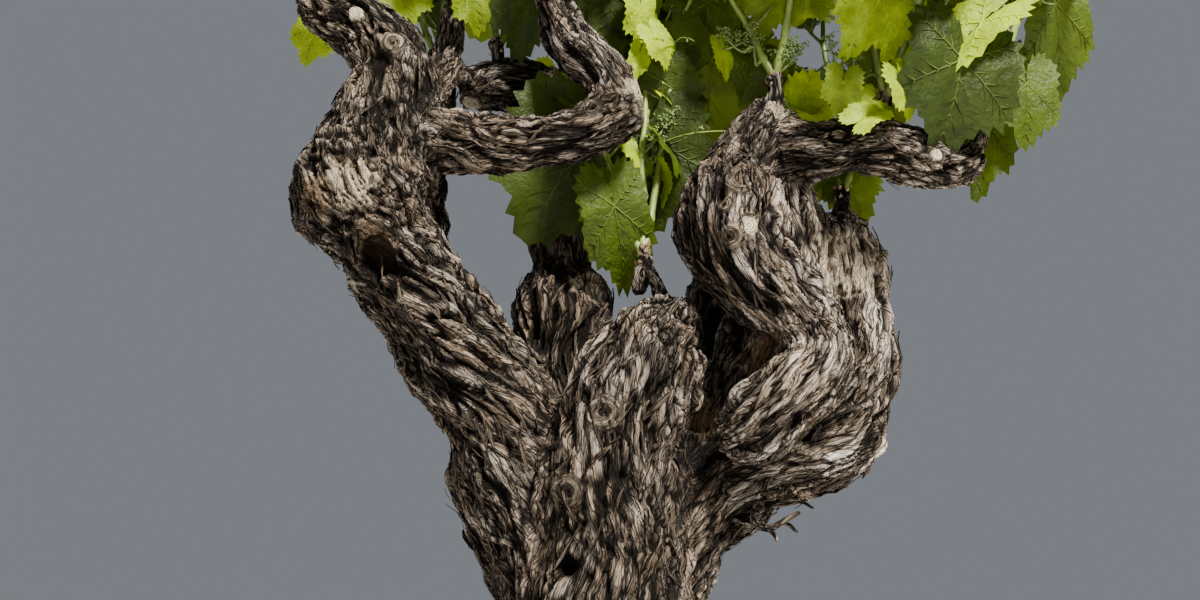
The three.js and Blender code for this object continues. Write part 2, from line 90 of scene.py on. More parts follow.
# Every limb's stations (x, y, z, radius) and its burls and hollows (place, reach, height)
LIMBS = {
    "left_arm": (
        [[-69, 5, 315, 58], [-117, 0, 391, 58], [-167, -6, 467, 54], [-208, -14, 530, 56],
         [-231, -20, 578, 72], [-223, -18, 639, 61], [-204, -8, 700, 45]],
        [[[-262, -66, 600], 24, 9], [[-258, -78, 592], 13, -10], [[-215, -72, 512], 15, -16],
         [[-300, -20, 585], 26, 8]],
    ),
    "left_arm_top": (
        [[-201, -8, 704, 40], [-229, -4, 752, 37], [-266, 4, 783, 36], [-294, 12, 806, 31]],
        [[[-212, -44, 742], 13, 9], [[-246, -34, 790], 12, 5]],
    ),
    "left_branch": (
        [[-177, -18, 643, 34], [-120, -30, 634, 30], [-70, -38, 631, 28], [-20, -40, 641, 28],
         [18, -34, 666, 29]],
        [[[36, -40, 676], 15, 5]],
    ),
    "left_riser": (
        [[18, -32, 673, 29], [2, -22, 708, 27], [-27, -8, 743, 28], [-42, 4, 783, 24],
         [-49, 14, 819, 19]],
        [],
    ),
    "left_rear_spur": (
        [[-182, 14, 699, 21], [-165, 44, 741, 18], [-160, 56, 784, 15], [-158, 62, 816, 13]],
        [],
    ),
    "central_stump": (
        [[6, -34, 240, 60], [8, -40, 306, 57], [27, -38, 369, 60], [53, -34, 421, 56],
         [67, -30, 448, 36]],
        [[[6, -96, 374], 14, 10], [[-34, -82, 292], 12, 9]],
    ),
    "rear_left_arm": (
        [[-70, 60, 300, 48], [-130, 122, 400, 44], [-186, 190, 520, 40], [-216, 240, 640, 38],
         [-206, 262, 740, 33], [-196, 262, 800, 26]],
        [[[-230, 260, 640], 22, 8]],
    ),
    "middle_arm": (
        [[-56, 46, 322, 48], [-50, 62, 418, 49], [-40, 74, 482, 53], [-42, 80, 508, 44]],
        [[[-20, 28, 500], 20, 6]],
    ),
    "middle_riser": (
        [[-44, 84, 508, 35], [-44, 92, 582, 33], [-37, 100, 651, 31], [-44, 102, 712, 29],
         [-57, 98, 740, 26]],
        [],
    ),
    "middle_fork": (
        [[-48, 98, 733, 27], [-87, 92, 738, 30], [-119, 80, 734, 29], [-138, 68, 727, 23]],
        [],
    ),
    "right_arm": (
        [[80, 26, 270, 50], [166, 45, 330, 58], [230, 55, 372, 61], [257, 58, 424, 48],
         [259, 60, 477, 41], [259, 60, 525, 42], [249, 58, 558, 38]],
        [[[262, 36, 352], 18, 14], [[300, 50, 412], 22, 8], [[236, 20, 560], 16, 6],
         [[236, 28, 314], 20, 14]],
    ),
    "twist_lower": (
        [[212, -28, 436, 36], [206, -42, 404, 36], [178, -50, 374, 38], [152, -48, 350, 37],
         [132, -38, 338, 28]],
        [],
    ),
    "twist_upper": (
        [[143, -14, 616, 38], [132, -34, 569, 53], [137, -44, 519, 54], [168, -42, 478, 45],
         [203, -32, 446, 38]],
        [[[140, -90, 592], 15, 7], [[124, -90, 540], 13, 6], [[150, -94, 552], 11, 5]],
    ),
    "twist_core": (
        [[108, 34, 330, 40], [146, 36, 400, 46], [180, 34, 478, 46], [194, 30, 545, 42],
         [186, 24, 592, 34]],
        [],
    ),
    "right_stub": (
        [[145, -12, 614, 37], [159, -4, 644, 33], [176, 4, 672, 25]],
        [],
    ),
    "right_branch": (
        [[158, 2, 637, 30], [208, -6, 637, 31], [255, -14, 635, 29], [302, -20, 628, 32],
         [340, -16, 615, 26], [369, -6, 621, 20], [383, 3, 637, 13]],
        [[[286, -46, 650], 12, 5]],
    ),
    "rear_right_arm": (
        [[62, 62, 290, 52], [104, 128, 396, 47], [142, 196, 510, 44], [158, 246, 604, 40],
         [150, 268, 686, 30]],
        [[[176, 268, 600], 22, 8]],
    ),
}
CENTRAL_SPUR = [[66, -18, 462, 12], [58, -6, 492, 8], [40, 6, 512, 7]]
DEAD_TWIG = [[128, 16, 262, 6], [162, -2, 270, 5], [200, -8, 264, 3.5]]

# The dead twig as it branches, with the smaller one above it
DEAD_TWIGS = [
    [[116, 22, 268, 6], [134, 4, 262, 4.8], [150, -6, 257, 4.4], [162, -8, 253, 3.9], [176, -10, 259, 3.2],
     [192, -12, 268, 2.2]],
    [[161, -8, 254, 3.2], [168, -10, 247, 2.6], [170, -12, 241, 1.6]],
    [[176, -10, 259, 2.8], [184, -4, 256, 2.2], [191, 0, 250, 1.5]],
    [[149, -6, 257, 3], [147, -12, 264, 2.4], [148, -17, 270, 1.5]],
    [[140, 26, 289, 5], [162, 6, 277, 3.9], [178, 0, 277, 3.1], [194, -2, 279, 2.3], [207, -2, 273, 1.4]],
    [[177, 0, 277, 2.5], [183, 3, 283, 1.9], [190, 3, 287, 1.2]],
]

# Where the bark is divided into pieces, and the nodes that each piece stands for
BARK_PIECES = {
    "trunk_bark": ["trunk"],
    "stump_bark": ["central_stump"],
    "left_bark": ["left_arm", "left_arm_top", "left_branch", "left_riser", "left_rear_spur"],
    "middle_bark": ["middle_arm", "middle_riser", "middle_fork"],
    "right_bark": ["right_arm", "twist_lower", "twist_upper", "twist_core", "right_stub",
                   "right_branch"],
    "rear_bark": ["rear_left_arm", "rear_right_arm"],
}

# Bark
LIMB_SIDES = 40
RING_STEP = 8
VOXEL = 4.9
FILLET_PASSES = 10
GRAIN_STEP = 4
LIMB_BLEND = 9
GRAIN_TWIST = 1 / 420
LIMB_TWISTS = {"left_arm": 1 / 120, "central_stump": 1 / 200, "left_branch": -1 / 150, "right_arm": -1 / 260}


# Directions and noise


def unit(v):
    return v / np.linalg.norm(v)


def gradient_table():
    rng = np.random.default_rng(11)
    table = rng.normal(size=(256, 3))
    return (table / np.linalg.norm(table, axis=1, keepdims=True)).astype(np.float32)


GRADIENTS = gradient_table()


def noise(places, seed=0):
    """Smooth noise from about -1 to 1, with cells one unit wide."""
    places = np.asarray(places, np.float32)
    cell = np.floor(places).astype(np.int64)
    part = places - cell
    fade = part**3 * (part * (part * 6 - 15) + 10)
    total = np.zeros(len(places), np.float32)
    for corner in itertools.product((0, 1), repeat=3):
        key = (cell + corner) * (73856093, 19349663, 83492791)
        mixed = (key[:, 0] ^ key[:, 1] ^ key[:, 2]) + seed * 2654435761
        mixed = (mixed ^ (mixed >> 13)) * 1274126177
        gradient = GRADIENTS[(mixed ^ (mixed >> 16)) & 255]
        weight = np.prod(np.where(corner, fade, 1 - fade), axis=1)
        total += weight * np.sum(gradient * (part - corner), axis=1)
    return total * 1.7


CELL_NUMBERS = np.random.default_rng(12).random((256, 4)).astype(np.float32)


def cells(places, seed=0):
    """Cell noise: gaps to the nearest two cell centres, the nearest cell's number and the height in it."""
    places = np.asarray(places, np.float32)
    base = np.floor(places).astype(np.int64)
    near = np.full(len(places), 9, np.float32)
    following = near.copy()
    number = np.zeros(len(places), np.float32)
    rise = np.zeros(len(places), np.float32)
    for corner in itertools.product((-1, 0, 1), repeat=3):
        cell = base + corner
        key = cell * (73856093, 19349663, 83492791)
        mixed = (key[:, 0] ^ key[:, 1] ^ key[:, 2]) + seed * 2654435761
        mixed = (mixed ^ (mixed >> 13)) * 1274126177
        values = CELL_NUMBERS[(mixed ^ (mixed >> 16)) & 255]
        away = places - cell.astype(np.float32) - values[:, :3]
        gap = (away * away).sum(1)
        closer = gap < near
        following = np.where(closer, near, np.minimum(following, gap))
        near = np.where(closer, gap, near)
        number = np.where(closer, values[:, 3], number)
        rise = np.where(closer, away[:, 2], rise)
    return np.sqrt(near), np.sqrt(following), number, rise


def smooth(low, high, value):
    share = np.clip((value - low) / (high - low), 0, 1)
    return share * share * (3 - 2 * share)


# Lines of the limbs


def catmull(stations, t):
    """Places and radii on a row of stations, at shares t of its spans."""
    points = np.asarray(stations, float)
    last = len(points) - 1
    padded = np.vstack([2 * points[0] - points[1], points, 2 * points[-1] - points[-2]])
    span = np.minimum((t * last).astype(int), last - 1)
    w = (t * last - span)[:, None]
    before, start, end, after = (padded[span + i] for i in range(4))
    rise, fall = (end - before) / 2, (after - start) / 2
    cubic = 2 * start - 2 * end + rise + fall
    square = -3 * start + 3 * end - 2 * rise - fall
    return ((cubic * w + square) * w + rise) * w + start


def line_of(stations, step):
    """Centre line, radii, axes and lengths at even steps along a limb."""
    fine = catmull(stations, np.linspace(0, 1, 60 * len(stations)))
    run = np.concatenate([[0], np.cumsum(np.linalg.norm(np.diff(fine[:, :3], axis=0), axis=1))])
    count = max(3, int(round(run[-1] / step)) + 1)
    lengths = np.linspace(0, run[-1], count)
    even = np.stack([np.interp(lengths, run, fine[:, i]) for i in range(4)], axis=1)
    along = np.gradient(even[:, :3], axis=0)
    along /= np.linalg.norm(along, axis=1, keepdims=True)
    across = np.zeros_like(along)
    side = np.array([0.0, -1.0, 0.0])
    for i, way in enumerate(along):
        side = side - way * side.dot(way)
        side /= np.linalg.norm(side)
        across[i] = side
    return {"centre": even[:, :3], "radius": even[:, 3], "along": along, "across": across,
            "around": np.cross(along, across), "length": lengths}


def unevenness(places):
    x, y, z = places.T
    wave = np.sin(x / 17 + 1.6 * np.sin(z / 41)) + np.sin(y / 15 + 1.3 * np.sin(z / 33 + 1))
    return GNARL * wave / 2


def swelling(places, radius, burls):
    lump = unevenness(places) * np.minimum(1, radius / THICK_LIMB)
    for at, reach, height in burls:
        gap = np.linalg.norm(places - at, axis=1)
        lump = lump + height * np.exp(-gap * gap / (2 * reach * reach))
    return lump


def tube(stations, burls=(), sides=LIMB_SIDES, step=RING_STEP, is_wood=True):
    """A closed tapering limb with rounded ends, as vertices and quads."""
    line = line_of(stations, step)
    count = len(line["length"])
    rings = [(0, -lift) for lift in reversed(CAP_LIFTS)]
    rings += [(i, 0) for i in range(count)]
    rings += [(count - 1, lift) for lift in CAP_LIFTS]
    turns = np.arange(sides) * 2 * math.pi / sides
    rows = []
    for i, lift in rings:
        rise = math.radians(lift)
        out = np.outer(np.cos(turns), line["across"][i]) + np.outer(np.sin(turns), line["around"][i])
        size = line["radius"][i]
        places = line["centre"][i] + out * size * math.cos(rise)
        places = places + line["along"][i] * size * math.sin(rise) * END_BLUNTNESS
        if is_wood:
            extra = swelling(places, np.full(sides, size), burls)[:, None]
            places = places + extra * (out * math.cos(rise) + line["along"][i] * math.sin(rise))
        rows.append(places)
    faces = []
    for row in range(len(rings) - 1):
        for i in range(sides):
            j = (i + 1) % sides
            faces.append([row * sides + i, row * sides + j, (row + 1) * sides + j, (row + 1) * sides + i])
    return np.vstack(rows), faces


def band_faces(first, rings, sides):
    """Triangles between rings of vertices that follow each other from a first vertex on."""
    faces = []
    for i in range(rings - 1):
        for j in range(sides):
            a, b = first + i * sides + j, first + i * sides + (j + 1) % sides
            faces += [[a, b, b + sides], [a, b + sides, a + sides]]
    return faces


def root_stations():
    roots = []
    for i in range(ROOT_COUNT):
        turn = (i + 0.35 + 0.16 * math.sin(5 * i)) * 2 * math.pi / ROOT_COUNT
        reach = ROOT_REACH * (1 + 0.12 * math.sin(3 * i + 1))
        away = (reach * math.cos(turn), reach * math.sin(turn))
        shape = [(0.45, 140, 34), (0.66, 70, 38), (0.86, 20, 36), (1.05, -30, 34)]
        roots.append([[share * away[0], share * away[1], z, radius] for share, z, radius in shape])
    return roots


# Blender objects


def mesh_object(name, vertices, faces, materials=(), face_materials=None, is_smooth=True):
    """An object in metres from vertices in millimetres."""
    mesh = bpy.data.meshes.new(name)
    mesh.from_pydata(np.asarray(vertices) * MM, [], faces)
    for material in materials:
        mesh.materials.append(material)
    if face_materials is not None:
        mesh.polygons.foreach_set("material_index", np.asarray(face_materials, np.int32))
    mesh.polygons.foreach_set("use_smooth", np.full(len(mesh.polygons), is_smooth))
    obj = bpy.data.objects.new(name, mesh)
    bpy.context.scene.collection.objects.link(obj)
    return obj


def read_mesh(obj):
    """Vertices in millimetres, normals and quads or triangles of an object with its modifiers."""
    evaluated = obj.evaluated_get(bpy.context.evaluated_depsgraph_get())
    mesh = evaluated.to_mesh()
    places = np.zeros(len(mesh.vertices) * 3, np.float32)
    mesh.vertices.foreach_get("co", places)
    normals = np.zeros(len(mesh.vertices) * 3, np.float32)
    mesh.vertex_normals.foreach_get("vector", normals)
    loops = np.zeros(len(mesh.loops), np.int32)
    mesh.loops.foreach_get("vertex_index", loops)
    sizes = np.zeros(len(mesh.polygons), np.int32)
    mesh.polygons.foreach_get("loop_total", sizes)
    evaluated.to_mesh_clear()
    return places.reshape(-1, 3) / MM, normals.reshape(-1, 3), loops, sizes


def wood_base():
    """The trunk and every limb fused into one skin with soft hollows where they meet."""
    parts = [tube(stations) for stations in TRUNK_COLUMNS + root_stations()]
    parts += [tube(stations, burls) for stations, burls in LIMBS.values()]
    vertices, faces, start = [], [], 0
    for places, quads in parts:
        vertices.append(places)
        faces += [[start + i for i in quad] for quad in quads]
        start += len(places)
    rough = mesh_object("rough_wood", np.vstack(vertices), faces)
    remesh = rough.modifiers.new("fuse", "REMESH")
    remesh.mode = "VOXEL"
    remesh.voxel_size = VOXEL * MM
    fillet = rough.modifiers.new("fillet", "SMOOTH")
    fillet.factor = 0.5
    fillet.iterations = FILLET_PASSES
    finer = rough.modifiers.new("finer", "SUBSURF")
    finer.levels = 1
    finer.render_levels = 1
    bpy.context.view_layer.update()
    made = read_mesh(rough)
    bpy.data.objects.remove(rough)
    return made


class Builder:
    """Gathers shapes that are joined into one object, with values for their vertices."""

    def __init__(self):
        self.vertices, self.faces, self.kinds, self.values, self.count = [], [], [], {}, 0

    def add(self, vertices, faces, kind=0, **values):
        faces = np.asarray(faces)
        self.vertices.append(np.asarray(vertices, float))
        self.faces += (faces + self.count).tolist()
        self.kinds += [kind] * len(faces)
        self.count += len(vertices)
        for name, value in values.items():
            self.values.setdefault(name, []).append(value)

    def value(self, name):
        return np.concatenate(self.values[name])

    def make(self, name, materials, replaced=(), slot="foliage", is_smooth=True):
        obj = mesh_object(name, np.vstack(self.vertices), self.faces, materials, self.kinds, is_smooth)
        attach(obj, "root")
        if replaced:
            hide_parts(*replaced)
        return obj


# The run of the grain


def wood_lines():
    """Every limb's line with its owner, for the run of the bark's grain."""
    lines = [("trunk", stations) for stations in TRUNK_COLUMNS + root_stations()]
    lines += [(name, stations) for name, (stations, _) in LIMBS.items()]
    return [(owner, line_of(stations, GRAIN_STEP)) for owner, stations in lines]


# How many places are measured against a line at once, which holds the memory down
CHUNK = 20000


def near_line(places, line, margin):
    """Which places lie near a limb, their nearest step on it, and their gap to its surface."""
    low = line["centre"].min(0) - line["radius"].max() - margin
    high = line["centre"].max(0) + line["radius"].max() + margin
    picked = np.flatnonzero(np.all((places > low) & (places < high), axis=1))
    centre = line["centre"].astype(np.float32)
    radius = line["radius"].astype(np.float32)
    step = np.zeros(len(picked), np.int32)
    gap = np.zeros(len(picked), np.float32)
    for start in range(0, len(picked), CHUNK):
        part = places[picked[start:start + CHUNK]]
        squares = (part**2).sum(1)[:, None] - 2 * part @ centre.T + (centre**2).sum(1)
        away = np.sqrt(np.maximum(squares, 0)) - radius
        best = away.argmin(1)
        step[start:start + CHUNK] = best
        gap[start:start + CHUNK] = away[np.arange(len(part)), best]
    return picked, step, gap


def grain_at(places, line, step, spin):
    """Coordinates across, around and along a limb, turned slowly along its length."""
    away = places - line["centre"][step]
    along = (away * line["along"][step]).sum(1)
    across = (away * line["across"][step]).sum(1)
    around = (away * line["around"][step]).sum(1)
    length = line["length"][step] + along
    turn = length * spin
    cos, sin = np.cos(turn), np.sin(turn)
    return np.stack([across * cos - around * sin, across * sin + around * cos, length], axis=1)


def grain_spin(owner, index):
    """How fast a limb's grain turns round it, in radians a millimetre."""
    return LIMB_TWISTS.get(owner, GRAIN_TWIST * (1 if index % 2 else -1))


# Sizes of the bark's plates, flakes, furrows and bends in millimetres: across, around and along the grain
PLATE_SIZE = (14, 14, 110)
FLAKE_SIZE = (9, 9, 60)
FURROW_SIZE = (21, 21, 120)
FOLD_SIZE = (30, 30, 190)
WIDE_BEND_SIZE = (55, 55, 60)
SMALL_BEND_SIZE = (24, 24, 30)
SLIDE_SIZE = (13, 13, 50)

# How far the grain wanders, and how high or deep each form of the bark is, in millimetres
WIDE_BEND = 12
SMALL_BEND = 4
SLIDE = 26
BARK_LIFT = 2.8
PLATE_STEP = 4.6
PLATE_TILT = 2.2
FLAKE_STEP = 2.4
FLAKE_TILT = 1.2
FURROW_DEPTH = 4.5
FOLD_DEPTH = 6.5
PLATE_GAP_DEPTH = 3.0
FLAKE_GAP_DEPTH = 1.2

# How wide the cracks are, as values of the cell noise or of the noise that they follow
PLATE_GAP_WIDTH = (0.03, 0.24)
FLAKE_GAP_WIDTH = (0.02, 0.26)
FURROW_WIDTH = 0.17
FOLD_WIDTH = 0.42

# Where the bark changes: full relief, the left arm's corky knob, painted sunlight and painted shade on limbs,
# painted shade in dips
FULL_BARK_RADIUS = 45
THINNEST_BARK = 0.45
KNOB_FOOT = 480
CORK_SIZE = 17
KNOB_SWELL_SIZE = 33
KNOB_SWELL = 8
CORK_STEP = 4
CORK_GAP_DEPTH = 2.5
# Painted sunlight on the right arm's rolls, and painted shade on the middle arm's boss and in the dips where
# limbs meet
PAINTED_SUN_TONE = 1.2
PAINTED_SHADE_TONE = 1.3
SHADED_BOSS_PLACE = (-35, 25, 490)
PIT_SHADE = 0.5


def grain_noise(grain, size, seed):
    return noise(grain / np.array(size, np.float32), seed)


def bark_relief(grain, radius, seed):
    """The bark's height in millimetres, how deep in a crack a place lies, which darkens it partly as the
    cracks' own darker bark and partly as painted shade, and its plate's tone.
    """
    fine = np.clip(radius / FULL_BARK_RADIUS, THINNEST_BARK, 1.0).astype(np.float32)
    bent = grain.astype(np.float32)
    for axis in (0, 1):
        wide = grain_noise(grain + 500 * axis, WIDE_BEND_SIZE, seed) * WIDE_BEND
        small = grain_noise(grain + 500 * axis, SMALL_BEND_SIZE, seed) * SMALL_BEND
        bent[:, axis] = (grain[:, axis] + wide + small) / fine
    slid = bent.copy()
    slid[:, 2] += SLIDE * grain_noise(bent, SLIDE_SIZE, seed + 8)
    near, following, plate, plate_rise = cells(slid / np.array(PLATE_SIZE, np.float32), seed + 1)
    plate_gap = 1 - smooth(*PLATE_GAP_WIDTH, following - near)
    near, following, flake, flake_rise = cells(slid / np.array(FLAKE_SIZE, np.float32), seed + 2)
    flake_gap = 1 - smooth(*FLAKE_GAP_WIDTH, following - near)
    furrow = 1 - smooth(0.0, FURROW_WIDTH, np.abs(grain_noise(bent, FURROW_SIZE, seed + 3)))
    fold = 1 - smooth(0.0, FOLD_WIDTH, np.abs(grain_noise(bent, FOLD_SIZE, seed + 5)))
    plate_rise = plate_rise * np.where(plate * 7 % 1 > 0.5, 1, -1)
    height = BARK_LIFT + PLATE_STEP * (plate - 0.5) + PLATE_TILT * plate_rise
    height = height + FLAKE_STEP * (flake - 0.5) + FLAKE_TILT * flake_rise
    height = height - FURROW_DEPTH * furrow - FOLD_DEPTH * fold
    height = height - PLATE_GAP_DEPTH * plate_gap - FLAKE_GAP_DEPTH * flake_gap
    # Depth darkens furrows, folds and plate gaps: partly their own darker bark, partly painted shade
    depth = 0.6 * furrow + 0.3 * fold**2 + 0.4 * plate_gap
    return height * fine**0.8, np.clip(depth, 0, 1), plate


# Wounds, knots and hollows: pixel in the photograph, radius, depth and kind
MARKS = {
    "top_cut": (355, 13, 9, 3, "cut"),
    "top_hole": (335, 14, 8, 5, "hollow"),
    "top_low_hole": (343, 38, 8, 5, "hollow"),
    "top_knob": (393, 43, 11, 2, "knot"),
    "branch_knot": (592, 107, 9, 3, "knot"),
    "fork_cut": (472, 104, 11, 3, "cut"),
    "elbow": (641, 92, 20, 2, "weathered"),
    "swirl": (742, 178, 16, 8, "knot"),
    "small_knot": (725, 205, 7, 2, "knot"),
    "scar": (730, 236, 11, 4, "knot"),
    "round_cut": (750, 225, 10, 3, "cut"),
    "end_ring": (885, 130, 9, 2, "knot"),
    "fresh_cut": (937, 155, 7, 2, "cut"),
    "stub_top": (780, 106, 13, 3, "weathered"),
    "stump_knot": (603, 412, 15, 1, "knot"),
    "low_knot": (567, 492, 14, 1, "knot"),
    "trunk_hole": (565, 565, 12, 20, "hollow"),
    "arm_wound": (347, 180, 28, 7, "torn"),
    "arm_crumble": (311, 196, 25, 3, "crumbled"),
    "arm_low_crumble": (372, 238, 20, 3, "crumbled"),
    "arm_arch": (343, 154, 11, 6, "pit"),
    "arm_arch_end": (368, 152, 10, 6, "pit"),
    "arm_hollow": (378, 262, 20, 16, "hollow"),
    "twist_cavity": (768, 358, 28, 10, "decayed"),
    "twist_hole": (738, 334, 17, 12, "pit"),
    "twist_gap": (770, 342, 16, 12, "pit"),
    "twist_foot": (700, 412, 22, 10, "decayed"),
    "stump_side": (686, 452, 27, 12, "pit"),
    "roll_side": (820, 430, 17, 10, "pit"),
    "crotch": (545, 345, 15, 8, "pit"),
    "arm_tear": (850, 262, 36, 6, "weathered"),
    "knob_face": (590, 284, 17, 4, "weathered"),
}
NO_MARK = 9


def pixel_ray(px, py):
    """Start and way of the sight line through a pixel of the photograph."""
    right = Vector((1, 0, 0))
    ahead = Vector((0, math.cos(CAMERA_PITCH), math.sin(CAMERA_PITCH)))
    up = right.cross(ahead)
    way = ahead * FOCAL_PIXELS + right * (px - PHOTO_SIZE[0] / 2) - up * (py - PHOTO_SIZE[1] / 2)
    return Vector(CAMERA_PLACE), way.normalized()


def carve_cut(bark, ring, lift, deep, places):
    """A sawn or snapped face: flat, pale and cracked, in a raised collar."""
    inside = 1 - smooth(0.8, 1.05, ring)
    rim = np.exp(-((ring - 1.15) / 0.2) ** 2)
    rough = 0.7 * noise(places / 2.6, 53)
    bark["height"] += inside * (rough - 0.9 * lift - bark["height"]) + rim * deep * 0.6
    bark["depth"] = np.clip(bark["depth"] * (1 - inside) + 0.5 * np.exp(-((ring - 0.95) / 0.08) ** 2), 0, 1)
    bark["bare"] = np.maximum(bark["bare"], np.maximum(inside * (0.75 + 0.25 * rough), 0.3 * rim))


def carve_knot(bark, ring, lift, deep, places):
    """A healed knot: the bark swells and runs round a small dark pit."""
    swell = np.exp(-((ring - 0.75) / 0.42) ** 2)
    core = np.exp(-((ring / 0.27) ** 2)) * min(1, deep / 6)
    within = 1 - smooth(0.9, 1.5, ring)
    folds = within * (0.5 + 0.5 * np.sin(ring * 17 + 3 * noise(places / 13, 55)))
    bark["height"] += 4.5 * swell - 1.6 * folds - deep * core - 0.35 * within * bark["height"]
    bark["depth"] = np.clip(bark["depth"] * (1 - 0.5 * within) + core + 0.3 * folds, 0, 1)
    bark["bare"] = np.maximum(bark["bare"], 0.15 * swell)


def carve_hollow(bark, ring, lift, deep, places):
    """A hole that runs into the wood, darkened inside with painted shade."""
    inside = 1 - smooth(0.45, 1.1, ring)
    bark["height"] -= inside * deep
    # Painted shade: the hole's inside is darkened nearly to black
    bark["depth"] = np.clip(bark["depth"] + 1.1 * inside, 0, 1)


def carve_pit(bark, ring, lift, deep, places):
    """A deep dip in the bark where limbs meet, darkened with painted shade."""
    inside = 1 - smooth(0.0, 1.5, ring)
    bark["height"] -= inside * deep
    # Painted shade darkens the dip
    bark["depth"] += inside * (PIT_SHADE - 0.4 * bark["depth"])


# Splits and notches in torn wood, in millimetres across, around and along the grain
SPLIT_SIZE = (5, 5, 34)
NOTCH_SIZE = (9, 9, 60)
NOTCH_WIDTH = 0.16


def carve_torn(bark, ring, lift, deep, places, bareness=0.9, rot=0.1):
    """Bare split wood with a ragged edge."""
    ragged = smooth(-0.15, 0.2, 1 - ring + 0.5 * noise(places / 11, 51)) * (ring < 2)
    splits = np.abs(grain_noise(bark["grain"], SPLIT_SIZE, 52))
    notches = 1 - smooth(0.0, NOTCH_WIDTH, np.abs(grain_noise(bark["grain"], NOTCH_SIZE, 54)))
    bark["height"] += ragged * (-0.75 * bark["height"] - deep + 3.4 * splits - 5 * notches)
    bark["depth"] = np.clip(bark["depth"] * (1 - 0.5 * ragged) + 0.8 * ragged * notches, 0, 1)
    bark["bare"] = np.maximum(bark["bare"], bareness * ragged)
    bark["rot"] = np.maximum(bark["rot"], rot * ragged)


CARVERS = {
    "cut": carve_cut,
    "knot": carve_knot,
    "hollow": carve_hollow,
    "pit": carve_pit,
    "torn": carve_torn,
    "decayed": partial(carve_torn, bareness=0.95, rot=1.0),
    "crumbled": partial(carve_torn, bareness=0.5, rot=0.9),
    "weathered": partial(carve_torn, bareness=0.55, rot=0.0),
}


def carve_marks(bark):
    """Presses the wounds, knots and hollows into the bark."""
    places, normals = bark["rest"], bark["normals"]
    tree = BVHTree.FromPolygons(places.tolist(), bark["loops"].tolist())
    for name, (px, py, radius, deep, kind) in MARKS.items():
        place, normal, _, _ = tree.ray_cast(*pixel_ray(px, py))
        if place is None:
            print("no wood under the mark", name)
            continue
        out = np.array(normal)
        away = places - np.array(place)
        lift = away @ out
        flat = np.linalg.norm(away - np.outer(lift, out), axis=1)
        ring = flat / (radius * (1 + 0.14 * noise(places / (radius * 0.8), 50)))
        near = (normals @ out > 0.1) & (np.abs(lift) < 1.2 * radius + 10) & (ring < 2.4)
        ring = np.where(near, ring, NO_MARK)
        CARVERS[kind](bark, ring, np.where(near, lift, 0), deep, places)
        if kind in ("knot", "cut"):
            round_grain = near & (ring < 1.15)
            bark["grain"][round_grain] = np.stack(
                [flat * 1.2, lift, 8 * (away @ np.cross(out, UP)) / np.maximum(flat, 1)], 1)[round_grain]


def crumble_knob(bark):
    """The left arm's great knob has lumpy, corky bark instead of long strips."""
    places = bark["rest"]
    share = smooth(54, 66, bark["thickness"]) * (places[:, 2] > KNOB_FOOT)
    bent = places + 5 * noise(places / 18, 63)[:, None]
    near, following, number, _ = cells(bent / CORK_SIZE, 64)
    gap = 1 - smooth(0.02, 0.2, following - near)
    cork = CORK_STEP * (number - 0.5) - CORK_GAP_DEPTH * gap + 1.5 * noise(places / 9, 65) - 2.5
    swell = KNOB_SWELL * noise(places / KNOB_SWELL_SIZE, 62)
    bark["height"] += share * (swell + cork - 0.4 * bark["height"])
    bark["depth"] = np.clip(bark["depth"] * (1 - 0.3 * share) + 0.35 * gap * share, 0, 1)
    bark["tone"] += 0.6 * share * (number - bark["tone"])


def paint_sun_and_shade_on_limbs(bark):
    """The right arm's rolls are lightened with painted sunlight, and the middle arm's boss is darkened with
    painted shade.
    """
    x, _, z = bark["rest"].T
    # Painted sunlight pales the rolls, then painted shade darkens the boss
    bark["tone"] += PAINTED_SUN_TONE * smooth(110, 190, x) * (1 - smooth(560, 640, z))
    from_boss = np.linalg.norm(bark["rest"] - SHADED_BOSS_PLACE, axis=1)
    bark["tone"] -= PAINTED_SHADE_TONE * (1 - smooth(30, 80, from_boss))


def blend_limbs(bark):
    """Lays each limb's own bark on the skin, blended where limbs meet."""
    places, lines = bark["rest"], bark["lines"]
    nearest = np.full(len(places), 1e9, np.float32)
    found = []
    for owner, line in lines:
        picked, step, gap = near_line(places, line, 40)
        np.minimum.at(nearest, picked, gap)
        found.append((picked, step, gap))
    closest = np.full(len(places), 1e9, np.float32)
    total = np.zeros(len(places), np.float32)
    for index, ((owner, line), (picked, step, gap)) in enumerate(zip(lines, found)):
        weight = np.exp(-(gap - nearest[picked]) / LIMB_BLEND)
        keep = weight > 0.04
        picked, step, gap, weight = picked[keep], step[keep], gap[keep], weight[keep]
        here = grain_at(places[picked], line, step, grain_spin(owner, index))
        seed = 0 if owner == "trunk" else 9 * index
        for name, values in zip(("height", "depth", "tone"), bark_relief(here, line["radius"][step], seed)):
            bark[name][picked] += weight * values
        total[picked] += weight
        way = line["along"][step] * np.where(line["along"][step][:, 2:] < -0.3, -1, 1)
        bark["fibre"][picked] += way * weight[:, None]
        closer = gap < closest[picked]
        closest[picked[closer]] = gap[closer]
        bark["owner"][picked[closer]] = index
        bark["thickness"][picked[closer]] = line["radius"][step[closer]]
        bark["grain"][picked[closer]] = here[closer]
    for name in ("height", "depth", "tone"):
        bark[name] /= np.maximum(total, 1e-6)
    bark["fibre"] /= np.maximum(np.linalg.norm(bark["fibre"], axis=1, keepdims=True), 1e-6)


# Lumps under the bark: size, height and seed
LUMPS = ((46, 4.5, 60), (22, 3.2, 61))


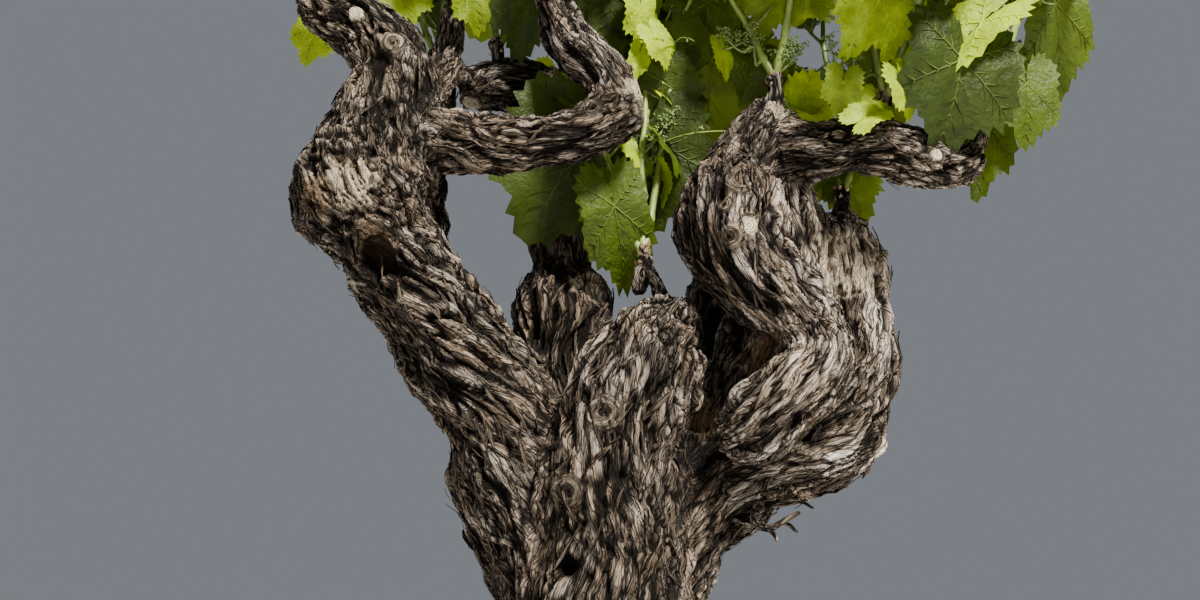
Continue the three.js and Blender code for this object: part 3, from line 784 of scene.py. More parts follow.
def make_skin():
    """The whole bark: displaced vertices, faces, and what its material reads."""
    places, normals, loops, sizes = wood_base()
    assert np.all(sizes == 4)
    count = len(places)
    bark = {name: np.zeros(count, np.float32) for name in (
        "height", "depth", "tone", "bare", "rot", "thickness")}
    bark |= {"rest": places, "normals": normals, "loops": loops.reshape(-1, 4), "lines": wood_lines(),
             "grain": np.zeros((count, 3), np.float32), "fibre": np.zeros((count, 3), np.float32),
             "owner": np.zeros(count, np.int32)}
    blend_limbs(bark)
    lumps = sum(height * noise(places / size, seed) for size, height, seed in LUMPS)
    bark["height"] += lumps * smooth(8, 34, bark["thickness"])
    crumble_knob(bark)
    paint_sun_and_shade_on_limbs(bark)
    carve_marks(bark)
    above = places[:, 2]
    share = np.where(above < 0.5, 0, 0.3 + 0.7 * smooth(0, 12, above))
    moved = places + normals * (bark["height"] * share)[:, None]
    moved[:, 2] = np.maximum(moved[:, 2], 0)
    bark["places"] = moved
    return bark


# Materials


def node_material(name, roughness=0.9, specular=0.3):
    """A named material with its node tree and its shader."""
    material = bpy.data.materials.new(name)
    material.use_nodes = True
    tree = material.node_tree
    shader = tree.nodes["Principled BSDF"]
    shader.inputs["Roughness"].default_value = roughness
    shader.inputs["Specular IOR Level"].default_value = specular
    return material, tree, shader


def link(tree, source, target):
    tree.links.new(source, target)


def attribute(tree, name, output="Fac"):
    node = tree.nodes.new("ShaderNodeAttribute")
    node.attribute_name = name
    return node.outputs[output]


def ramp(tree, source, stops):
    node = tree.nodes.new("ShaderNodeValToRGB")
    elements = node.color_ramp.elements
    while len(elements) < len(stops):
        elements.new(0.5)
    for element, (place, colour) in zip(elements, stops):
        element.position = place
        element.color = (*colour, 1)
    link(tree, source, node.inputs["Fac"])
    return node.outputs["Color"]


def scaled(tree, coordinates, scale):
    node = tree.nodes.new("ShaderNodeMapping")
    node.inputs["Scale"].default_value = scale
    link(tree, coordinates, node.inputs["Vector"])
    return node.outputs["Vector"]


def pattern(tree, coordinates, scale, detail=3, roughness=0.6, output="Fac"):
    """A noise pattern over coordinates that are stretched by scale."""
    node = tree.nodes.new("ShaderNodeTexNoise")
    node.inputs["Scale"].default_value = 1
    node.inputs["Detail"].default_value = detail
    node.inputs["Roughness"].default_value = roughness
    link(tree, scaled(tree, coordinates, scale), node.inputs["Vector"])
    return node.outputs[output]


def cell_pattern(tree, coordinates, scale):
    """Cells over stretched coordinates: every cell's own number, and how far a place is from its edge."""
    stretched = scaled(tree, coordinates, scale)
    numbers = tree.nodes.new("ShaderNodeTexVoronoi")
    numbers.inputs["Scale"].default_value = 1
    link(tree, stretched, numbers.inputs["Vector"])
    edges = tree.nodes.new("ShaderNodeTexVoronoi")
    edges.feature = "DISTANCE_TO_EDGE"
    edges.inputs["Scale"].default_value = 1
    link(tree, stretched, edges.inputs["Vector"])
    split = tree.nodes.new("ShaderNodeSeparateColor")
    link(tree, numbers.outputs["Color"], split.inputs["Color"])
    return split.outputs["Red"], edges.outputs["Distance"]


def bent_coordinates(tree, coordinates, scale, reach):
    """Coordinates that wander by up to half of reach."""
    node = tree.nodes.new("ShaderNodeVectorMath")
    node.operation = "MULTIPLY_ADD"
    link(tree, pattern(tree, coordinates, scale, 2, 0.5, "Color"), node.inputs[0])
    node.inputs[1].default_value = (reach, reach, reach)
    link(tree, coordinates, node.inputs[2])
    return node.outputs["Vector"]


def blend_colours(tree, kind, factor, first, second):
    node = tree.nodes.new("ShaderNodeMix")
    node.data_type = "RGBA"
    node.blend_type = kind
    for name, value in (("Factor", factor), ("A", first), ("B", second)):
        socket = [s for s in node.inputs if s.name == name and s.enabled][0]
        if isinstance(value, bpy.types.NodeSocket):
            link(tree, value, socket)
        elif isinstance(value, tuple):
            socket.default_value = (*value, 1)
        else:
            socket.default_value = value
    return [s for s in node.outputs if s.name == "Result" and s.enabled][0]


def weighted_sum(tree, start, terms):
    """A start value plus every term's value times its weight."""
    total = start
    for source, weight in terms:
        node = tree.nodes.new("ShaderNodeMath")
        node.operation = "MULTIPLY_ADD"
        link(tree, source, node.inputs[0])
        node.inputs[1].default_value = weight
        if isinstance(total, bpy.types.NodeSocket):
            link(tree, total, node.inputs[2])
        else:
            node.inputs[2].default_value = total
        total = node.outputs["Value"]
    return total


def bump(tree, shader, source, strength, distance):
    node = tree.nodes.new("ShaderNodeBump")
    node.inputs["Strength"].default_value = strength
    node.inputs["Distance"].default_value = distance * MM
    link(tree, source, node.inputs["Height"])
    link(tree, node.outputs["Normal"], shader.inputs["Normal"])


def eased(tree, source, low, high):
    """From 0 where a value is low to 1 where it is high."""
    node = tree.nodes.new("ShaderNodeMapRange")
    node.inputs["From Min"].default_value = low
    node.inputs["From Max"].default_value = high
    link(tree, source, node.inputs["Value"])
    return node.outputs["Result"]


# Colours of the bark and of bare wood; the crack black and the deep wood colour are partly painted shade
CRACK_AND_SHADE_BLACK = (0.003, 0.0025, 0.002)
BARK_DARK = (0.013, 0.011, 0.009)
BARK_BROWN = (0.055, 0.045, 0.036)
BARK_GREY = (0.160, 0.143, 0.124)
BARK_PALE = (0.36, 0.33, 0.29)
WARM_PATCH = (1.10, 0.98, 0.86)
COOL_PATCH = (0.97, 0.98, 1.0)
DEEP_WOOD_AND_SHADE = (0.10, 0.07, 0.05)
SAWN_WOOD = [(0.3, (0.12, 0.09, 0.06)), (0.48, (0.29, 0.245, 0.18)), (0.7, (0.47, 0.42, 0.33))]
ROTTEN_WOOD = [(0.3, (0.025, 0.015, 0.009)), (0.5, (0.105, 0.066, 0.036)), (0.7, (0.25, 0.17, 0.10))]


# The bark's patterns, in repeats a millimetre across, around and along the grain
BEND_SCALE = (0.05, 0.05, 0.03)
STREAK_SCALE = (0.55, 0.55, 0.035)
FINE_SCALE = (1.5, 1.5, 0.12)
PATCH_SCALE = (0.035, 0.035, 0.016)
STRIP_SCALE = (0.34, 0.34, 0.030)
PLATE_SCALE = (0.13, 0.13, 0.013)
BEND_REACH = 12
STRIP_CRACK = 0.09
PLATE_CRACK = 0.07

# What each pattern adds to the bark's lightness and to its fine relief; depth darkens cracks, hollows and
# dips, partly as painted shade
LEAST_LIGHTNESS = -0.37
LIGHTNESS = {"depth": -0.68, "tone": 0.12, "number": 0.05, "streak": 0.27, "fine": 0.30, "strip": 0.21,
             "plate": 0.31}
FINE_RELIEF = {"number": 0.5, "streak": 0.7, "fine": 0.6, "strip": 0.7, "plate": 0.9}
FINE_RELIEF_DEPTH = 2.4


def bark_material():
    """Shredding bark: pale weathered plates, brown layers, black cracks that are partly painted shade, and
    bare wood at wounds, darker where it lies deep, partly as painted shade.
    """
    material, tree, shader = node_material("bark", 0.95, 0.04)
    grain = attribute(tree, "grain", "Vector")
    bent = bent_coordinates(tree, grain, BEND_SCALE, BEND_REACH)
    streak = pattern(tree, bent, STREAK_SCALE, 4)
    fine = pattern(tree, bent, FINE_SCALE, 4)
    patch = pattern(tree, grain, PATCH_SCALE, 3)
    number, strip_edge = cell_pattern(tree, bent, STRIP_SCALE)
    _, plate_edge = cell_pattern(tree, bent, PLATE_SCALE)
    sources = {"depth": attribute(tree, "depth"), "tone": attribute(tree, "tone"), "number": number,
               "streak": streak, "fine": fine, "strip": eased(tree, strip_edge, 0.0, STRIP_CRACK),
               "plate": eased(tree, plate_edge, 0.0, PLATE_CRACK)}
    level = weighted_sum(tree, LEAST_LIGHTNESS, [(sources[name], share) for name, share in LIGHTNESS.items()])
    colour = ramp(tree, level, [
        (0.03, CRACK_AND_SHADE_BLACK), (0.17, BARK_DARK), (0.36, BARK_BROWN), (0.58, BARK_GREY), (0.84, BARK_PALE)])
    warm = ramp(tree, patch, [(0.36, WARM_PATCH), (0.6, COOL_PATCH)])
    colour = blend_colours(tree, "MULTIPLY", 1.0, colour, warm)
    fibre = weighted_sum(tree, 0.0, [(streak, 0.6), (fine, 0.4)])
    wood = blend_colours(tree, "MIX", attribute(tree, "rot"), ramp(tree, fibre, SAWN_WOOD),
                         ramp(tree, fibre, ROTTEN_WOOD))
    # Bare wood darkens where it lies deep in cracks and hollows: partly its own darker colour, partly painted
    # shade
    wood = blend_colours(tree, "MULTIPLY", sources["depth"], wood, DEEP_WOOD_AND_SHADE)
    colour = blend_colours(tree, "MIX", attribute(tree, "bare"), colour, wood)
    link(tree, colour, shader.inputs["Base Color"])
    relief = weighted_sum(tree, 0.0, [(sources[name], share) for name, share in FINE_RELIEF.items()])
    bump(tree, shader, relief, 1.0, FINE_RELIEF_DEPTH)
    return material


BARK_VALUES = ("depth", "tone", "bare", "rot")


def lay_values(mesh, values, grain, grain_domain="POINT"):
    """Gives a mesh what the bark's material reads."""
    for name in BARK_VALUES:
        layer = mesh.attributes.new(name, "FLOAT", "POINT")
        layer.data.foreach_set("value", np.asarray(values[name], np.float32))
    layer = mesh.attributes.new("grain", "FLOAT_VECTOR", grain_domain)
    layer.data.foreach_set("vector", np.asarray(grain, np.float32).ravel())


def bark_piece(name, nodes, bark, material):
    """One part of the bark as an object of its own."""
    is_mine = np.array([owner in nodes for owner, _ in bark["lines"]])
    face_owner = bark["owner"][bark["loops"]]
    votes = (face_owner[:, :, None] == face_owner[:, None, :]).sum(2)
    chosen = face_owner[np.arange(len(face_owner)), votes.argmax(1)]
    picked = np.flatnonzero(is_mine[chosen])
    quads = bark["loops"][picked]
    used, local = np.unique(quads.ravel(), return_inverse=True)
    obj = mesh_object(name, bark["places"][used], local.reshape(-1, 4).tolist(), [material])
    grain = bark["grain"][quads.ravel()].copy()
    face_of_corner = np.repeat(chosen[picked], 4)
    strays = np.flatnonzero(bark["owner"][quads.ravel()] != face_of_corner)
    for index in np.unique(face_of_corner[strays]):
        owner, line = bark["lines"][index]
        mine = strays[face_of_corner[strays] == index]
        places = bark["rest"][quads.ravel()[mine]]
        away = np.linalg.norm(places[:, None] - line["centre"], axis=2) - line["radius"]
        grain[mine] = grain_at(places, line, away.argmin(1), grain_spin(owner, index))
    grain += face_of_corner[:, None] * 37.0
    lay_values(obj.data, {key: bark[key][used] for key in BARK_VALUES}, grain, "CORNER")
    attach(obj, "root")
    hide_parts(*nodes)


# Loose bark: count, rings, and ranges of length, width and lift in millimetres
FLAKES = (2400, 5, (14, 44), (3.0, 7.5), (0.5, 3.8))
SPLINTERS = (420, 6, (16, 50), (0.8, 1.6), (1.0, 8))
STUMP_TOP = (67, -30, 460)
STUMP_TOP_REACH = 45


def loose_bark(bark, material):
    """Flakes and splinters of bark that follow the grain and lift off at one end."""
    rng = np.random.default_rng(23)
    places, normals = bark["places"], bark["normals"]
    tree = KDTree(len(places) // 3 + 1)
    for i in range(0, len(places), 3):
        tree.insert(places[i], i)
    tree.balance()
    chance = (bark["bare"] < 0.3) & (places[:, 2] > 8) & (bark["depth"] < 0.5)
    near_top = np.linalg.norm(places - STUMP_TOP, axis=1) < STUMP_TOP_REACH
    chance = chance * (1.0 + 1.5 * (normals[:, 2] < -0.25) + 5.0 * near_top)
    chance /= chance.sum()
    builder = Builder()
    for count, steps, lengths, widths, lifts in (FLAKES, SPLINTERS):
        for start in rng.choice(len(places), count, replace=False, p=chance):
            size = min(1.0, max(0.45, bark["thickness"][start] / FULL_BARK_RADIUS))
            length, width, lift = (rng.uniform(*span) * size for span in (lengths, widths, lifts))
            hand = 1 if near_top[start] or rng.random() < 0.5 else -1
            rows = strip_rows(bark, tree, start, steps, length, width, lift, hand, rng)
            tone = rng.uniform(0.1, 0.7)
            add_strip(builder, rows, tone, length)
    obj = builder.make("loose_bark", [material], slot="bark", is_smooth=False)
    lay_values(obj.data, {name: builder.value(name) for name in BARK_VALUES}, builder.value("grain"))


def strip_rows(bark, tree, start, steps, length, width, lift, hand, rng):
    """Three-sided rings of one strip, traced over the bark."""
    place = bark["places"][start].astype(float)
    lean = rng.normal() * 0.28
    curl_way = rng.choice((-1, 1))
    rows = []
    for j in range(steps):
        share = j / (steps - 1)
        _, index, _ = tree.find(place)
        out = bark["normals"][index].astype(float)
        way = bark["fibre"][index] * hand
        way = way - out * way.dot(out)
        way /= max(np.linalg.norm(way), 1e-6)
        side = np.cross(out, way)
        ground = place - out * (place - bark["places"][index]).dot(out)
        body = ground + out * (lift * share**2 + 0.35)
        wide = 0.5 * width * math.sin(math.pi * (0.16 + 0.7 * share)) * rng.uniform(0.75, 1.15)
        curl = curl_way * share * wide * 0.6
        row = np.array([body - side * wide + out * curl, body + out * (0.4 + 0.14 * wide),
                        body + side * wide - out * curl])
        row[:, 2] = np.maximum(row[:, 2], 0)
        rows.append(row)
        place = ground + (way + side * lean) * length / (steps - 1)
        place[2] = max(place[2], 1)
    return rows


def add_strip(builder, rows, tone, length):
    steps = len(rows)
    faces = band_faces(0, steps, 3) + [[2, 1, 0], [3 * steps - 3, 3 * steps - 2, 3 * steps - 1]]
    along = np.repeat(np.arange(steps) * length / (steps - 1), 3)
    across = np.tile([0, 3, 6], steps)
    grain = np.stack([np.full(3 * steps, tone * 400), across, along], 1)
    builder.add(np.vstack(rows), faces, depth=np.tile([0.4, 0.22, 0.4], steps),
                tone=np.full(3 * steps, tone), bare=np.zeros(3 * steps), rot=np.zeros(3 * steps), grain=grain)


def rough_limb(stations, seed, sides=18, step=2.4):
    """A thin woody limb in its own bark."""
    places, quads = tube(stations, sides=sides, step=step, is_wood=False)
    line = line_of(stations, step)
    gap = np.linalg.norm(places[:, None] - line["centre"], axis=2) - line["radius"]
    nearest = gap.argmin(1)
    grain = grain_at(places, line, nearest, 1 / 60)
    height, depth, tone = bark_relief(grain, line["radius"][nearest], seed)
    out = places - line["centre"][nearest]
    out /= np.maximum(np.linalg.norm(out, axis=1, keepdims=True), 1e-6)
    lumps = 1.4 * noise(places / 11, seed) * np.minimum(1, line["radius"][nearest] / 8)
    share = np.minimum(1, line["radius"][nearest] / 9)
    return places + out * ((height * 0.6 + lumps) * share)[:, None], quads, grain + 37 * seed, depth, tone


SPUR_SINK = 16


def spur_lines():
    """The woody feet of the shoots, each sunk a little in the end of its limb, and the dead twigs."""
    lines = []
    for _, _, stem, _ in MASSES.values():
        foot, head = np.array(stem[0], float), np.array(stem[1], float)
        way = (head - foot) / np.linalg.norm(head[:3] - foot[:3])
        middle = (foot + head) / 2 + [2.5, -2, 0, -0.8]
        lines.append([foot - way * SPUR_SINK, foot + [0, 0, 0, 1.5], middle, head + [0, 0, -4, 1.5], head])
    lines.append(CENTRAL_SPUR[:2] + [[47, 2, 512, 8]] + [MASSES["middle_foliage"][2][1]])
    return [np.array(line).tolist() for line in lines] + DEAD_TWIGS


def make_spurs(material):
    builder = Builder()
    for number, stations in enumerate(spur_lines()):
        places, quads, grain, depth, tone = rough_limb(stations, number)
        none = np.zeros(len(places))
        builder.add(places, quads, grain=grain, depth=depth, tone=tone, bare=none, rot=none)
    obj = builder.make("spur_bark", [material], ["central_spur", "dead_twig"], "bark")
    lay_values(obj.data, {name: builder.value(name) for name in BARK_VALUES}, builder.value("grain"))


def make_bark():
    bark = make_skin()
    material = bark_material()
    for name, nodes in BARK_PIECES.items():
        bark_piece(name, nodes, bark, material)
    loose_bark(bark, material)
    make_spurs(material)


# Shoots and leaves, by the rule of the part's source

SHOOT_RADIUS = 4.6
SHOOT_TIP_RADIUS = 1.6
LONGEST_INTERNODE = 50
SHORTEST_INTERNODE = 20
WIDEST_LEAF = 108
NARROWEST_LEAF = 34
PETIOLE_DROP = 9
PETIOLE_SHARE = 0.58
CLUSTER_LENGTH = 62
CLUSTER_RADIUS = 7
CLUSTER_NODE = 2
CLUSTER_SPREAD = 0.55
CLUSTER_LIFT = 0.8
FOOT_STEP = 0.3
LEAF_TO_LIMB = 5
SPACE_MARGIN = 3
CROWDING = 0.56
LEAF_TRIES = 4
HEIGHT_SHARE = 0.35
LEAST_BEND = 0.1
LIGHT_SEEKING = 0.06
BALL_SPACING = 12
LEAST_LENGTH = 0.85
LENGTH_RANGE = 0.3
LEAST_WIDTH = 0.84
WIDTH_RANGE = 0.26
LEAST_RISE = 25
RISE_RANGE = 40
LEAST_DROOP = 28
DROOP_RANGE = 50
YAW_RANGE = 0.9
TILT_RANGE = 1
LEAF_OUTLINE = ((0, 1.0), (60, 0.84), (130, 0.68))
MIDRIB_SHARE = 0.66
LEAF_MIDDLE = 0.3

# Every mass: the hearts of its own space, the seed of its rule, its stem's two ends with their radii,
# and its shoots, each with its lean, its greatest number of leaves and the turn of its leaves in degrees
MASSES = {
    "left_tip_foliage": (
        [[-345, -10, 940]], 28, [[-291, 10, 802, 12], [-303, 12, 846, 9]],
        [[[-0.5, -0.1, 1], 9, 15], [[0, 0.2, 1], 9, 105]],
    ),
    "left_neck_foliage": (
        [[-175, 20, 920]], 21, [[-158, 62, 808, 10], [-161, 60, 842, 8]],
        [[[-0.1, -0.3, 1], 9, 75], [[0.1, 0.1, 1], 9, 165]],
    ),
    "rear_left_foliage": (
        [[-230, 330, 915]], 33, [[-196, 262, 792, 12], [-199, 266, 840, 9]],
        [[[-0.4, 0.1, 1], 9, 45], [[0, 0.5, 1], 9, 135]],
    ),
    "riser_foliage": (
        [[-15, -55, 950]], 40, [[-49, 14, 812, 11], [-48, 13, 852, 8]],
        [[[-0.1, -0.3, 1], 9, 165], [[0.3, 0, 1], 9, 105]],
    ),
    "fork_foliage": (
        [[-100, 185, 850]], 31, [[-112, 84, 744, 10], [-114, 96, 790, 8]],
        [[[-0.1, 0.3, 1], 9, 75], [[0.2, 0.4, 1], 9, 165]],
    ),
    "centre_foliage": (
        [[30, 165, 850]], 66, [[-40, 104, 728, 11], [-16, 116, 772, 8]],
        [[[0.4, 0.2, 1], 9, 75], [[0.1, 0.4, 1], 9, 165]],
    ),
    "middle_foliage": (
        [[20, 20, 585], [62, 30, 715]], 75, [[41, 5, 506, 7], [44, 9, 536, 6]],
        [[[0, 0.2, 1], 10, 30], [[-0.3, 0.1, 1], 7, 0], [[0.2, 0.4, 1], 9, 90]],
    ),
    "stub_foliage": (
        [[165, -30, 790]], 75, [[177, 4, 680, 11], [180, 2, 716, 8]],
        [[[-0.5, 0, 1], 9, 15], [[0.3, -0.1, 1], 9, 60]],
    ),
    "right_crown_foliage": (
        [[308, -65, 755]], 32, [[284, -16, 650, 11], [288, -20, 688, 8]],
        [[[-0.2, -0.2, 1], 9, 75], [[0.3, -0.4, 1], 9, 120], [[0.5, 0, 1], 8, 165]],
    ),
    "right_tip_foliage": (
        [[435, 35, 745]], 58, [[382, 3, 636, 9], [391, 5, 668, 7]],
        [[[0.4, -0.1, 1], 9, 165], [[0.1, 0.5, 1], 9, 75]],
    ),
    "rear_right_foliage": (
        [[150, 350, 810]], 96, [[150, 268, 692, 12], [151, 272, 738, 9]],
        [[[-0.2, 0.4, 1], 9, 0], [[0.3, 0.3, 1], 9, 75]],
    ),
    "right_shoulder_foliage": (
        [[290, 190, 680]], 63, [[252, 64, 572, 11], [257, 74, 616, 8]],
        [[[0.1, 0.5, 1], 9, 15], [[0.4, 0.3, 1], 8, 90]],
    ),
}


def turned(v, axis, angle):
    cos, sin = math.cos(angle), math.sin(angle)
    return v * cos + np.cross(axis, v) * sin + axis * (axis @ v) * (1 - cos)


def dice(seed):
    """Seeded random numbers from 0 to 1."""
    state = [seed]

    def roll():
        state[0] = (state[0] * 1664525 + 1013904223) % 2**32
        return state[0] / 2**32

    return roll


def wood_balls():
    rows = []
    for stations in [stations for stations, _ in LIMBS.values()] + [CENTRAL_SPUR, DEAD_TWIG]:
        fine = catmull(stations, np.linspace(0, 1, 201))
        length = np.linalg.norm(np.diff(fine[:, :3], axis=0), axis=1).sum()
        count = round(length / BALL_SPACING)
        run = np.concatenate([[0], np.cumsum(np.linalg.norm(np.diff(fine[:, :3], axis=0), axis=1))])
        at = np.interp(np.linspace(0, run[-1], count + 1), run, np.linspace(0, 1, 201))
        balls = catmull(stations, at)
        balls[:, 3] += GNARL / 2
        rows.append(balls)
    return np.vstack(rows)


WOOD = wood_balls()


def wood_gap(place):
    return (np.linalg.norm(WOOD[:, :3] - place, axis=1) - WOOD[:, 3]).min()


def heart_gap(place, name):
    return min(math.hypot(place[0] - x, place[1] - y, HEIGHT_SHARE * (place[2] - z))
               for x, y, z in MASSES[name][0])


def in_own_space(place, name, margin=SPACE_MARGIN):
    furthest = heart_gap(place, name) + 2 * margin
    return all(other == name or heart_gap(place, other) > furthest for other in MASSES)


def leaf_width(share):
    swell = math.sin(math.pi * min(1, 0.28 + 0.72 * share)) ** 0.8
    return NARROWEST_LEAF + (WIDEST_LEAF - NARROWEST_LEAF) * swell


def internode(share):
    return SHORTEST_INTERNODE + (LONGEST_INTERNODE - SHORTEST_INTERNODE) * math.sin(math.pi * share)


def turn_leaf(node, sideways, hand, width, attempt, roll):
    outward = turned(sideways * hand, UP, (roll() - 0.5) * attempt)
    rise = math.radians(LEAST_RISE + RISE_RANGE * roll())
    droop = math.radians(LEAST_DROOP + DROOP_RANGE * roll())
    yaw = (roll() - 0.5) * YAW_RANGE
    tilt = (roll() - 0.5) * TILT_RANGE
    stalk = outward * math.cos(rise) + UP * math.sin(rise)
    midrib = turned(outward * math.cos(droop) - UP * math.sin(droop), UP, yaw)
    face = turned(outward * math.sin(droop) + UP * math.cos(droop), UP, yaw)
    face = turned(face, midrib, tilt)
    return {"foot": node + stalk * width * PETIOLE_SHARE, "width": width, "outward": outward,
            "across": np.cross(midrib, face), "midrib": midrib, "face": face}


def leaf_places(leaf):
    """The places that have to be clear: a leaf's foot, its middle and its rim."""
    heart = leaf["foot"] + leaf["midrib"] * LEAF_MIDDLE * leaf["width"]
    size = leaf["width"] * MIDRIB_SHARE
    rim = []
    for degrees, reach in LEAF_OUTLINE:
        for hand in (1, -1):
            turn = math.radians(degrees) * hand
            rim.append(leaf["foot"] + leaf["across"] * math.sin(turn) * reach * size
                       + leaf["midrib"] * math.cos(turn) * reach * size)
    return heart, [leaf["foot"], heart, *rim]


def new_shoot(name, line, radius, spray, leaves=(), clusters=()):
    """A shoot of a mass, with its radii at foot and tip, its spray's number and what it bears."""
    return {"mass": name, "line": list(line), "radius": radius, "spray": spray, "leaves": list(leaves),
            "clusters": list(clusters), "nodes": []}


def grow_shoot(name, foot, spec, spray, roll, grown):
    """One shoot by the seeded rule: its line, its leaves and its flower cluster."""
    lean, leaf_count, turn_degrees = spec
    shoot = new_shoot(name, [foot], (SHOOT_RADIUS, SHOOT_TIP_RADIUS), spray)
    way = unit(np.array(lean, float))
    turn = math.radians(turn_degrees)
    sideways = np.array([math.cos(turn), math.sin(turn), 0])
    for k in range(leaf_count):
        share = (k + 0.5) / leaf_count
        hand = 1 if k % 2 else -1
        length = internode(share) * (LEAST_LENGTH + LENGTH_RANGE * roll())
        bend = LEAST_BEND * (1 + roll())
        width = leaf_width(share) * (LEAST_WIDTH + WIDTH_RANGE * roll())
        way = unit(way + sideways * hand * bend + UP * LIGHT_SEEKING)
        node = shoot["line"][-1] + way * length
        if not in_own_space(node, name) or (k > 0 and wood_gap(node) < SHOOT_RADIUS + LEAF_TO_LIMB):
            break
        shoot["line"].append(node)
        for attempt in range(1, LEAF_TRIES + 1):
            leaf = turn_leaf(node, sideways, hand, width, attempt, roll)
            heart, places = leaf_places(leaf)
            is_clear = all(in_own_space(p, name) and wood_gap(p) > LEAF_TO_LIMB for p in places)
            if is_clear and all(np.linalg.norm(other - heart) > CROWDING * width for other in grown):
                shoot["leaves"].append({**leaf, "root": node - way * PETIOLE_DROP, "share": share})
                grown.append(heart)
                break
        shoot["nodes"].append((node, way, leaf["outward"], share))
        if k == CLUSTER_NODE:
            aside = leaf["outward"] * CLUSTER_SPREAD * CLUSTER_LENGTH
            tip = node - aside + UP * CLUSTER_LIFT * CLUSTER_LENGTH
            if in_own_space(tip, name) and wood_gap(tip) > CLUSTER_RADIUS:
                shoot["clusters"].append((node, tip))
    return shoot


# What the photograph shows of the foliage

# Leaves: pixels of foot and tip, millimetres behind the trunk's middle, width against length, and tone, whose
# dark tones are painted shade and pale tones painted sunlight
SEEN_LEAVES = [
    ((578, 148), (524, 243), 30, 0.92, "leaf_deep_shaded"),
    ((596, 150), (574, 246), 40, 0.62, "leaf_deep_shaded"),
    ((652, 138), (657, 222), -16, 0.86, "leaf_deep_shaded"),
    ((614, 206), (633, 292), -6, 0.52, "leaf_full_half_shaded"),
    ((612, 198), (598, 250), 30, 0.60, "leaf_fresh_lit"),
    ((572, 214), (556, 262), 66, 0.80, "leaf_deep_shaded"),
    ((712, 62), (704, 147), 30, 0.86, "leaf_full_half_shaded"),
    ((758, 58), (749, 104), 25, 0.84, "leaf_full_half_shaded"),
    ((722, 50), (731, 80), 10, 0.50, "leaf_young_sunlit"),
    ((641, 6), (643, 48), 10, 0.62, "leaf_young_sunlit"),
    ((655, 36), (674, 64), 5, 0.75, "leaf_young_sunlit"),
    ((640, 54), (635, 80), 8, 0.5, "leaf_young_sunlit"),
    ((662, 82), (664, 134), 40, 0.86, "leaf_full_half_shaded"),
    ((615, -5), (603, 62), 70, 0.9, "leaf_deep_shaded"),
    ((680, 0), (676, 62), 60, 0.9, "leaf_deep_shaded"),
    ((708, 2), (708, 60), 50, 0.8, "leaf_full_half_shaded"),
    ((556, 80), (552, 113), 66, 0.80, "leaf_fresh_lit"),
    ((776, -12), (757, 34), 0, 0.85, "leaf_fresh_lit"),
    ((806, -20), (785, 26), -10, 0.8, "leaf_fresh_lit"),
    ((796, 114), (816, 66), 16, 0.85, "leaf_young_sunlit"),
    ((792, 106), (735, 98), 34, 0.36, "leaf_young_sunlit"),
    ((843, 82), (838, 115), -22, 0.75, "leaf_fresh_lit"),
    ((880, 84), (868, 113), -14, 0.8, "leaf_fresh_lit"),
    ((858, 94), (848, 117), -26, 0.7, "leaf_young_sunlit"),
    ((918, 58), (892, 86), -44, 0.6, "leaf_young_sunlit"),
    ((940, 84), (946, 112), -52, 0.7, "leaf_fresh_lit"),
    ((874, 58), (867, 94), -20, 0.8, "leaf_full_half_shaded"),
    ((864, 118), (894, 97), -30, 0.6, "leaf_young_sunlit"),
    ((882, -4), (846, 54), -60, 0.60, "leaf_young_sunlit"),
    ((906, -6), (884, 62), -55, 0.44, "leaf_young_sunlit"),
    ((982, 22), (906, 77), -52, 0.42, "leaf_young_sunlit"),
    ((962, 60), (950, 150), -48, 0.86, "leaf_deep_shaded"),
    ((902, 80), (920, 117), -34, 0.75, "leaf_young_sunlit"),
    ((930, 2), (925, 50), -30, 0.9, "leaf_full_half_shaded"),
    ((1027, 84), (1031, 144), -4, 0.66, "leaf_full_half_shaded"),
    ((1004, 58), (1006, 84), 0, 0.6, "leaf_fresh_lit"),
    ((1056, 4), (1070, 96), 6, 0.46, "leaf_full_half_shaded"),
    ((986, 124), (977, 200), 26, 0.46, "leaf_deep_shaded"),
    ((838, 168), (870, 222), 64, 0.72, "leaf_full_half_shaded"),
    ((836, 172), (803, 202), 60, 0.62, "leaf_full_half_shaded"),
    ((472, -10), (482, 34), 20, 0.8, "leaf_fresh_lit"),
    ((530, -2), (520, 54), 40, 0.8, "leaf_deep_shaded"),
    ((318, 26), (302, 62), -10, 0.7, "leaf_fresh_lit"),
    ((402, -8), (410, 26), 20, 0.8, "leaf_fresh_lit"),
]

# Flower clusters: pixels of foot and tip, and depth
SEEN_CLUSTERS = [
    ((850, 108), (828, 36), -35),
    ((850, 96), (857, 30), -35),
    ((756, 66), (752, 24), 0),
    ((776, 72), (792, 40), 0),
    ((774, 76), (802, 45), 5),
    ((744, 52), (722, 30), 0),
]

# Where the photograph shows sky: left, top, right and bottom pixel
SKY = [
    (446, 165, 520, 300), (430, 36, 480, 76), (484, 16, 522, 56), (690, 112, 722, 150),
    (732, 28, 802, 74), (806, 24, 860, 92), (1004, 6, 1052, 58), (1060, 98, 1200, 600),
    (1100, 0, 1200, 600), (896, 196, 1200, 600), (640, 236, 680, 292),
]


def seen_place(pixel, depth):
    """The place at a depth that shows at a pixel of the photograph."""
    start, way = pixel_ray(*pixel)
    return np.array(start + way * ((depth - start.y) / way.y))


